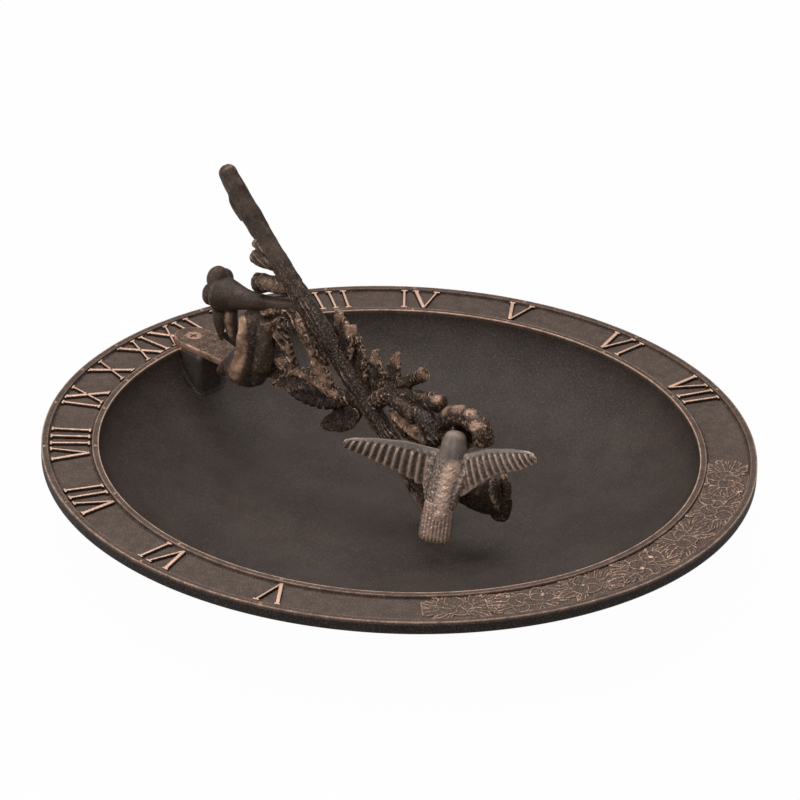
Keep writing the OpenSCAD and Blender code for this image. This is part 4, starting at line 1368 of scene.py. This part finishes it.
def make_bird_body():
    """Back and head, wide and flat where they run into the tail."""
    toward = (-0.65, -0.6, 0.2)
    back = NECK - RUMP
    spine = np.array([RUMP + [-2.4, -2, -5], RUMP + [-1.2, -1, 0], RUMP + back * 0.3, RUMP + back * 0.62,
                      RUMP + back * 0.86, NECK, *vine([-13.8, -56.6, 26.5], [-12.6, -56.2, 30.4])])
    body = tube(spine, [4.2, 7.6, 9.6, 9.2, 8.8, 8.2, 7.6, 6.6], sides=48, step=0.8, blunt=(0.6, 0.7),
                flat=0.86, side=toward)
    shoulders = tube(vine([-17, -47, 17], [-17.5, -57, 17], [-12.5, -66, 19]), [4.0, 5.8, 3.4], flat=0.8)
    left_web = tube(vine([-20, -47, 14], [-23.5, -49, 2], [-26, -51.5, -10]), [5.0, 5.6, 4.0], flat=0.6)
    right_web = tube(vine([-13, -67, 16], [-19, -66, 4], [-24, -64.5, -6]), [4.0, 4.4, 3.4], flat=0.6)
    bird = object_from("hummingbird_back_and_head",
                       Skin().add(*body).add(*shoulders).add(*left_web).add(*right_web))
    outward(bird)
    grown_together(bird, 0.4, 26)
    points = coords(bird.data)
    plumage = spread(-points[:, 2], -PLUMAGE_TOP, -PLUMAGE_FULL)
    push(bird, (0.03 + 0.27 * plumage) * rough(points, 1.2, 51) + 0.12 * rough(points, 4.5, 52))
    # Copper rubbed down the back, which also paints a highlight on its side towards the camera
    back_wear_and_highlight = [RUMP + [-8, -6, -8], RUMP + back * 0.5 + [-8, -6, 1], NECK + [-5, -5, -5]]
    mark_relief(bird, rubbed=balls_along(back_wear_and_highlight, 7.0, 1.7))
    scale_layer(bird.data, "coarse", 0.3 + 0.7 * plumage)
    # Painted shade on the smooth head: a lower swell darkens it
    shift_layer(bird.data, "swell", -0.35 * (1 - plumage))
    finish_piece(bird, BIRD_FINISH, "gnomon", "hummingbird_body")


def make_bill():
    start, aim = vine([-12, -56, 30.4], [2, -42, 25])
    d = unit(aim - start)
    skin = Skin().add(*tube([start, start + d * 6, start + d * 12, start + d * 18.5],
                            [2.6, 1.7, 1.1, 0.6], sides=20, step=0.8))
    bill = object_from("hummingbird_bill_slim", skin)
    outward(bill)
    mark_relief(bill)
    finish_piece(bill, VINE_FINISH, "gnomon", "hummingbird_bill")


WING_T = 2.2


def wing_skin(shoulder, tip, chord_dir, feathers, chord):
    """A spread wing with a fan of feathers behind its smooth leading edge, each feather a round
    ridge. Gives also how high on its feather's ridge each point is, from 0 to 1."""
    place = placed(shoulder, tip - shoulder, -np.array(chord_dir, float))
    length = np.linalg.norm(tip - shoulder)
    u = np.linspace(-0.1, 1, 420)[:, None]
    w = np.linspace(0, 1, 44)[None]
    lead = np.interp(u, [-0.1, 0, 0.35, 0.7, 0.92, 1], [1.0, 2.0, 4.0, 2.8, 0.8, -1.0])
    deep = np.interp(u, [-0.1, 0, 0.15, 0.4, 0.7, 0.9, 0.97, 1],
                     [chord + 3, chord + 2, 0.95 * chord, 0.74 * chord, 13.5, 9.0, 6.5, 3.0])
    count = u * feathers - 0.18 * w
    notch = 1 - np.abs(np.sin(math.pi * u * feathers)) ** 0.6
    deep = deep * (1 - 0.07 * notch * spread(u, 0.02, 0.2))
    lean = np.radians(np.interp(u, [-0.1, 0.15, 1], [0, 4, 52]))
    x = np.minimum(length * u * 0.965 + w * deep * np.sin(lean) * 0.5, length)
    y = lead - w * deep * np.cos(lean * 0.35)
    vane = 0.5 - 0.5 * np.cos(TAU * count)
    shown = spread(w, 0.12, 0.28) * spread(u, -0.02, 0.1) * spread(1 - u, 0.0, 0.1)
    camber = 1.3 * np.sin(math.pi * np.clip(w, 0, 1)) - 0.8 * w
    body = WING_T / 2 * np.sqrt(np.clip(1 - (2 * w - 1) ** 6, 0, 1)) * (1 - 0.3 * w)
    outer = 1 if place[1][2] @ (-1, -1, 0) > 0 else -1
    points, faces = sheet(surface(x, y, outer * (camber + body + 1.6 * (vane - 0.5) * shown)),
                          surface(x, y, outer * (camber - body + 0.6 * (vane - 0.5) * shown)))
    crest = np.concatenate([vane * shown, (0 * x)[:, 1:-1]], axis=1).ravel()
    return to_world(points, place), faces, np.append(crest, [0, 0])


def make_wing(name, node, shoulder, tip, chord_dir, feathers, chord):
    ends = vine(shoulder, tip)
    points, faces, crest = wing_skin(*ends, chord_dir, feathers, chord)
    wing = object_from(name, Skin().add(points, faces))
    set_coords(wing.data, points)
    store(wing.data, "crest", crest)
    outward(wing)
    crest = read_layer(wing.data, "crest")
    push(wing, 0.12 * rough(coords(wing.data), 1.3, 61))
    mark_relief(wing)
    ahead = unit(ends[1] - ends[0])
    behind = (coords(wing.data) - ends[0]) @ unit(np.array(chord_dir) - ahead * np.dot(chord_dir, ahead))
    calm = spread(behind, -2.5, 1.5)
    for layer in ("relief", "swell"):
        scale_layer(wing.data, layer, calm)
    scale_layer(wing.data, "coarse", 0.4 + 0.6 * calm)
    # Painted shade: a lower swell darkens the whole wing and lessens its copper
    shift_layer(wing.data, "swell", -0.3)
    store(wing.data, "rubbed", 0.7 * spread(crest, 0.5, 0.95))
    finish_piece(wing, BIRD_FINISH, "gnomon", node)


TAIL_FEATHERS = 9
TAIL_LENGTH = 24.0
TAIL_HALF = 9.4


def make_tail():
    """The tail: feathers side by side in a fan with a thick rounded end, as wide at its root as the rump."""
    place = placed(spot(-29.2, -60.8, -5), (-3.2, -0.6, -18.5), (0.59, -0.78, -0.18))
    u = np.linspace(0, 1, 100)[:, None]
    v = np.sin(np.linspace(-math.pi / 2, math.pi / 2, 121))[None]
    half = np.interp(u, [0, 0.2, 0.5, 0.85, 1], [8.4, 9.0, TAIL_HALF, 9.8, 9.6])
    tips = np.abs(np.cos(math.pi * TAIL_FEATHERS / 2 * v)) ** 0.5
    end = TAIL_LENGTH + 0.4 * tips - 2.2 * np.abs(v) ** 4
    x = u * end
    y = v * half
    ridge = 0.5 + 0.5 * np.cos(math.pi * TAIL_FEATHERS * v)
    arch = -2.8 * v ** 2
    body = np.interp(u, [0, 0.5, 0.9, 1], [3.4, 3.2, 3.2, 2.8]) * np.sqrt(np.clip(1 - np.abs(v) ** 6, 0, 1))
    body = body * np.sqrt(np.clip(1 - (u - 0.02) ** 12, 0.02, 1))
    points, faces = sheet(surface(x, y, arch + body + 0.45 * (ridge - 0.6) * spread(u, 0.1, 0.5)),
                          surface(x, y, arch - body))
    tail = object_from("hummingbird_tail_fan", Skin().add(to_world(points, place), faces))
    outward(tail)
    push(tail, 0.26 * rough(coords(tail.data), 1.15, 71))
    mark_relief(tail)
    away = coords(tail.data) - place[0]
    down, aside = away @ place[1][0], away @ place[1][1]
    stripe = 0.5 + 0.5 * np.cos(math.pi * TAIL_FEATHERS * np.clip(aside / TAIL_HALF, -1, 1))
    shown = spread(-down, -25, -20) * spread(-np.abs(aside), -9.6, -7)
    store(tail.data, "rubbed", (0.45 + 0.75 * stripe) * shown)
    finish_piece(tail, BIRD_FINISH, "gnomon", "hummingbird_tail")


# Plate and screw

HOLE_R = SHANK_R + 0.3
SINK_R = HEAD_R + 0.25
PLATE_SOFT = 1.1
THREAD_PITCH = 0.8
THREAD_DEPTH = 0.28
CROSS_REACH = 2.5
CROSS_DEPTH = 1.6


def plate_outline():
    """The plate from above: round behind the screw and slim at the front, with softened corners."""
    back = np.radians(np.linspace(0, 180, 60))
    west, east, front = SCREW_X - PLATE_R, SCREW_X + PLATE_R, 126.0
    outline = [(SCREW_X + PLATE_R * math.cos(a), SCREW_Y + PLATE_R * math.sin(a)) for a in back]
    outline += [(west, y) for y in np.linspace(SCREW_Y - 1, SCREW_Y - 6, 5)]
    corners = [(west, SCREW_Y - 6), (-8.5, front), (4.5, front), (east, SCREW_Y - 12), (east, SCREW_Y)]
    for (x0, y0), (x1, y1) in zip(corners, corners[1:]):
        count = max(2, round(math.hypot(x1 - x0, y1 - y0) / 1.2))
        outline += [(x0 + (x1 - x0) * k / count, y0 + (y1 - y0) * k / count) for k in range(1, count)]
        outline.append((x1, y1))
    outline = np.array(outline[:-1])
    for _ in range(2):
        outline = 0.5 * outline + 0.25 * (np.roll(outline, 1, 0) + np.roll(outline, -1, 0))
    return outline


def make_plate():
    """The flat plate with its countersunk hole."""
    outline = plate_outline()
    screw = np.array([SCREW_X, SCREW_Y])
    spoke = outline - screw
    spoke /= np.linalg.norm(spoke, axis=1)[:, None]
    out = outline_normals(outline)
    out *= np.sign((out * spoke).sum(1))[:, None]
    rings = []

    def ring(xy, z):
        rings.append(np.column_stack([xy, np.full(len(xy), z)]))

    top, low = DIAL_Z + PLATE_T, DIAL_Z
    sink = top - HEAD_H
    ring(screw + spoke * HOLE_R, low)
    ring(screw + spoke * HOLE_R, sink)
    for share in (0.0, 0.5, 1.0):
        ring(screw + spoke * (SHANK_R + 0.05 + (HEAD_R - SHANK_R) * share), sink + (HEAD_H - 0.02) * share)
    inner = screw + spoke * SINK_R
    ring(inner, top)
    edge = outline - out * PLATE_SOFT
    for share in np.linspace(0, 1, 30)[1:]:
        ring(inner + (edge - inner) * share, top)
    for bend in np.radians([30, 60, 90]):
        ring(edge + out * PLATE_SOFT * math.sin(bend), top - PLATE_SOFT * (1 - math.cos(bend)))
    ring(outline, low + 0.6)
    ring(outline - out * 0.6, low)
    points = np.vstack(rings)
    sides = len(outline)
    last = (len(rings) - 1) * sides
    faces = ring_faces(len(rings), sides)
    faces += [(last + j, last + (j + 1) % sides, (j + 1) % sides, j) for j in range(sides)]
    plate = object_from("gnomon_plate", Skin().add(points, faces))
    outward(plate)
    push(plate, 0.1 * rough(coords(plate.data), 2.2, 81) * (coords(plate.data)[:, 2] > top - 0.2))
    west_edge = balls_along(np.array([(x, y, top - 0.3) for x, y in ((-10, 180), (-9.6, 150), (-8.6, 127))]),
                            1.7, 1.3, step=1)
    mark_relief(plate, west_edge)
    on_top = spread(coords(plate.data)[:, 2], top - 0.6, top - 0.2)
    store(plate.data, "rubbed", np.maximum(read_layer(plate.data, "rubbed"), 0.22 * on_top))
    finish_piece(plate, VINE_FINISH, "gnomon", "mounting_plate")


def make_screw():
    """A countersunk screw with a cross recess and a rolled thread."""
    sides = 96
    around = np.arange(sides) * TAU / sides
    cosine, sine = np.cos(around), np.sin(around)
    top = DIAL_Z + PLATE_T
    rings = []

    def ring(radius, z):
        rings.append(np.column_stack([SCREW_X + radius * cosine, SCREW_Y + radius * sine, z + 0 * cosine]))

    for r in np.linspace(0.08, HEAD_R - 0.35, 34):
        x, y = r * cosine, r * sine
        near, far = np.minimum(np.abs(x), np.abs(y)), np.maximum(np.abs(x), np.abs(y))
        slot = spread(-near, -0.85, -0.6) * spread(-far, -2.9, -CROSS_REACH)
        ring(r, top - 0.03 - CROSS_DEPTH * slot * (1 - 0.3 * far / CROSS_REACH))
    ring(HEAD_R - 0.12, top - 0.08)
    ring(HEAD_R - 0.02, top - 0.22)
    ring(SHANK_R, top - HEAD_H)
    low = top - SCREW_LENGTH
    for z in np.linspace(top - HEAD_H - 0.4, low + 0.6, 110):
        wave = np.abs(((z / THREAD_PITCH - around / TAU) % 1) * 2 - 1)
        ring(SHANK_R - THREAD_DEPTH * wave, z)
    ring(SHANK_R * 0.75 + 0 * cosine, low)
    screw = object_from("cross_recess_screw", Skin().add(*closed_rings(rings)))
    outward(screw)
    mark_relief(screw)
    store(screw.data, "rubbed", 1.5 * spread(coords(screw.data)[:, 2], top - 0.35, top - 0.15))
    finish_piece(screw, SCREW_FINISH, "screw", "gnomon_screw")


# Stage, light and camera

FLOOR_REACH = 9000
PAPER = (0.62, 0.62, 0.62)
PAPER_WHITE = 0.98
WORLD_LIGHT = 0.2

# Each lamp's name, place and aim in metres, size and power
LAMPS = [("Overhead_Softbox", (0.3, 0.35, 1.9), (0, 0, 0.05), 2.4, 33.0),
         ("Left_Softbox", (-1.5, 0.8, 1.25), (0, 0, 0.08), 0.9, 12.0),
         ("Front_Softbox", (-1.5, -1.3, 1.3), (0, 0, 0.08), 0.5, 8.0)]

# The view that was fitted to the photograph, in metres and degrees
LENS = 238.1
SENSOR = 36.0
FAR_END = 50.0
CAMERA_PLACE = (-2.02355, -1.90357, 1.52678)
CAMERA_AIM = (0.04065, 0.03937, 0.056)
CAMERA_ROLL = 2.115


def make_floor():
    """A floor that is pale for the light and nearly white for the camera, so that a soft shadow stays."""
    corners = [(x * FLOOR_REACH, y * FLOOR_REACH, 0) for x, y in ((-1, -1), (1, -1), (1, 1), (-1, 1))]
    floor = object_from("studio_floor", Skin().add(corners, [(0, 1, 2, 3)]))
    paper = bpy.data.materials.new("Studio_Paper")
    paper.use_nodes = True
    tree = paper.node_tree
    tree.nodes.clear()
    seen = add_node(tree, "ShaderNodeLightPath").outputs["Is Camera Ray"]
    plain = add_node(tree, "ShaderNodeBsdfDiffuse", {"Color": (*PAPER, 1)}).outputs[0]
    white = add_node(tree, "ShaderNodeEmission", {"Color": (1, 1, 1, 1), "Strength": 1.0}).outputs[0]
    share = math_node(tree, "MULTIPLY", seen, PAPER_WHITE)
    mixed = add_node(tree, "ShaderNodeMixShader", {0: share, 1: plain, 2: white}).outputs[0]
    out = tree.nodes.new("ShaderNodeOutputMaterial")
    tree.links.new(mixed, out.inputs["Surface"])
    floor.data.materials.append(paper)


def make_world():
    """A world that is a dim light for the object and white for the camera."""
    world = bpy.data.worlds.new("Studio")
    bpy.context.scene.world = world
    world.use_nodes = True
    tree = world.node_tree
    tree.nodes.clear()
    seen = add_node(tree, "ShaderNodeLightPath").outputs["Is Camera Ray"]
    soft = add_node(tree, "ShaderNodeBackground", {"Color": (1, 1, 1, 1), "Strength": WORLD_LIGHT}).outputs[0]
    white = add_node(tree, "ShaderNodeBackground", {"Color": (1, 1, 1, 1), "Strength": 1.0}).outputs[0]
    mixed = add_node(tree, "ShaderNodeMixShader", {0: seen, 1: soft, 2: white}).outputs[0]
    out = tree.nodes.new("ShaderNodeOutputWorld")
    tree.links.new(mixed, out.inputs["Surface"])


def make_lamp(name, place, aim, size, power):
    lamp = bpy.data.lights.new(name, "AREA")
    lamp.shape = "DISK"
    lamp.size = size
    lamp.energy = power
    holder = bpy.data.objects.new(name, lamp)
    bpy.context.scene.collection.objects.link(holder)
    holder.location = place
    holder.rotation_euler = (Vector(aim) - Vector(place)).to_track_quat("-Z", "Y").to_euler()


def make_camera():
    lens = bpy.data.cameras.new("Photograph_View")
    lens.lens = LENS
    lens.sensor_width = SENSOR
    lens.clip_end = FAR_END
    camera = bpy.data.objects.new("Photograph_View", lens)
    bpy.context.scene.collection.objects.link(camera)
    place = Vector(CAMERA_PLACE)
    ahead = (Vector(CAMERA_AIM) - place).to_track_quat("-Z", "Y").to_matrix().to_4x4()
    roll = Matrix.Rotation(math.radians(CAMERA_ROLL), 4, "Z")
    camera.matrix_world = Matrix.Translation(place) @ ahead @ roll
    bpy.context.scene.camera = camera


make_camera()
make_floor()
make_world()
for lamp_values in LAMPS:
    make_lamp(*lamp_values)
make_basin()
make_numerals()
make_pips()
make_garland()
make_stem()
make_branches()
make_upper_buds()
make_cluster_buds()
make_all_leaves()
make_high_trumpet()
make_low_trumpet()
make_end_trumpet()
make_bird_trumpet()
make_bird_body()
make_bill()
make_wing("hummingbird_left_wing", "left_wing", shoulder=(-17, -49, 19.5), tip=(-46, 3.5, 19.5),
          chord_dir=(-0.25, 0.12, -1), feathers=13, chord=27.0)
make_wing("hummingbird_right_wing", "right_wing", shoulder=(-14, -64, 21.5), tip=(2, -106.5, 36),
          chord_dir=(-0.3, -0.1, -1), feathers=12, chord=21.5)
make_tail()
make_plate()
make_screw()

bpy.context.scene.view_settings.view_transform = "Standard"
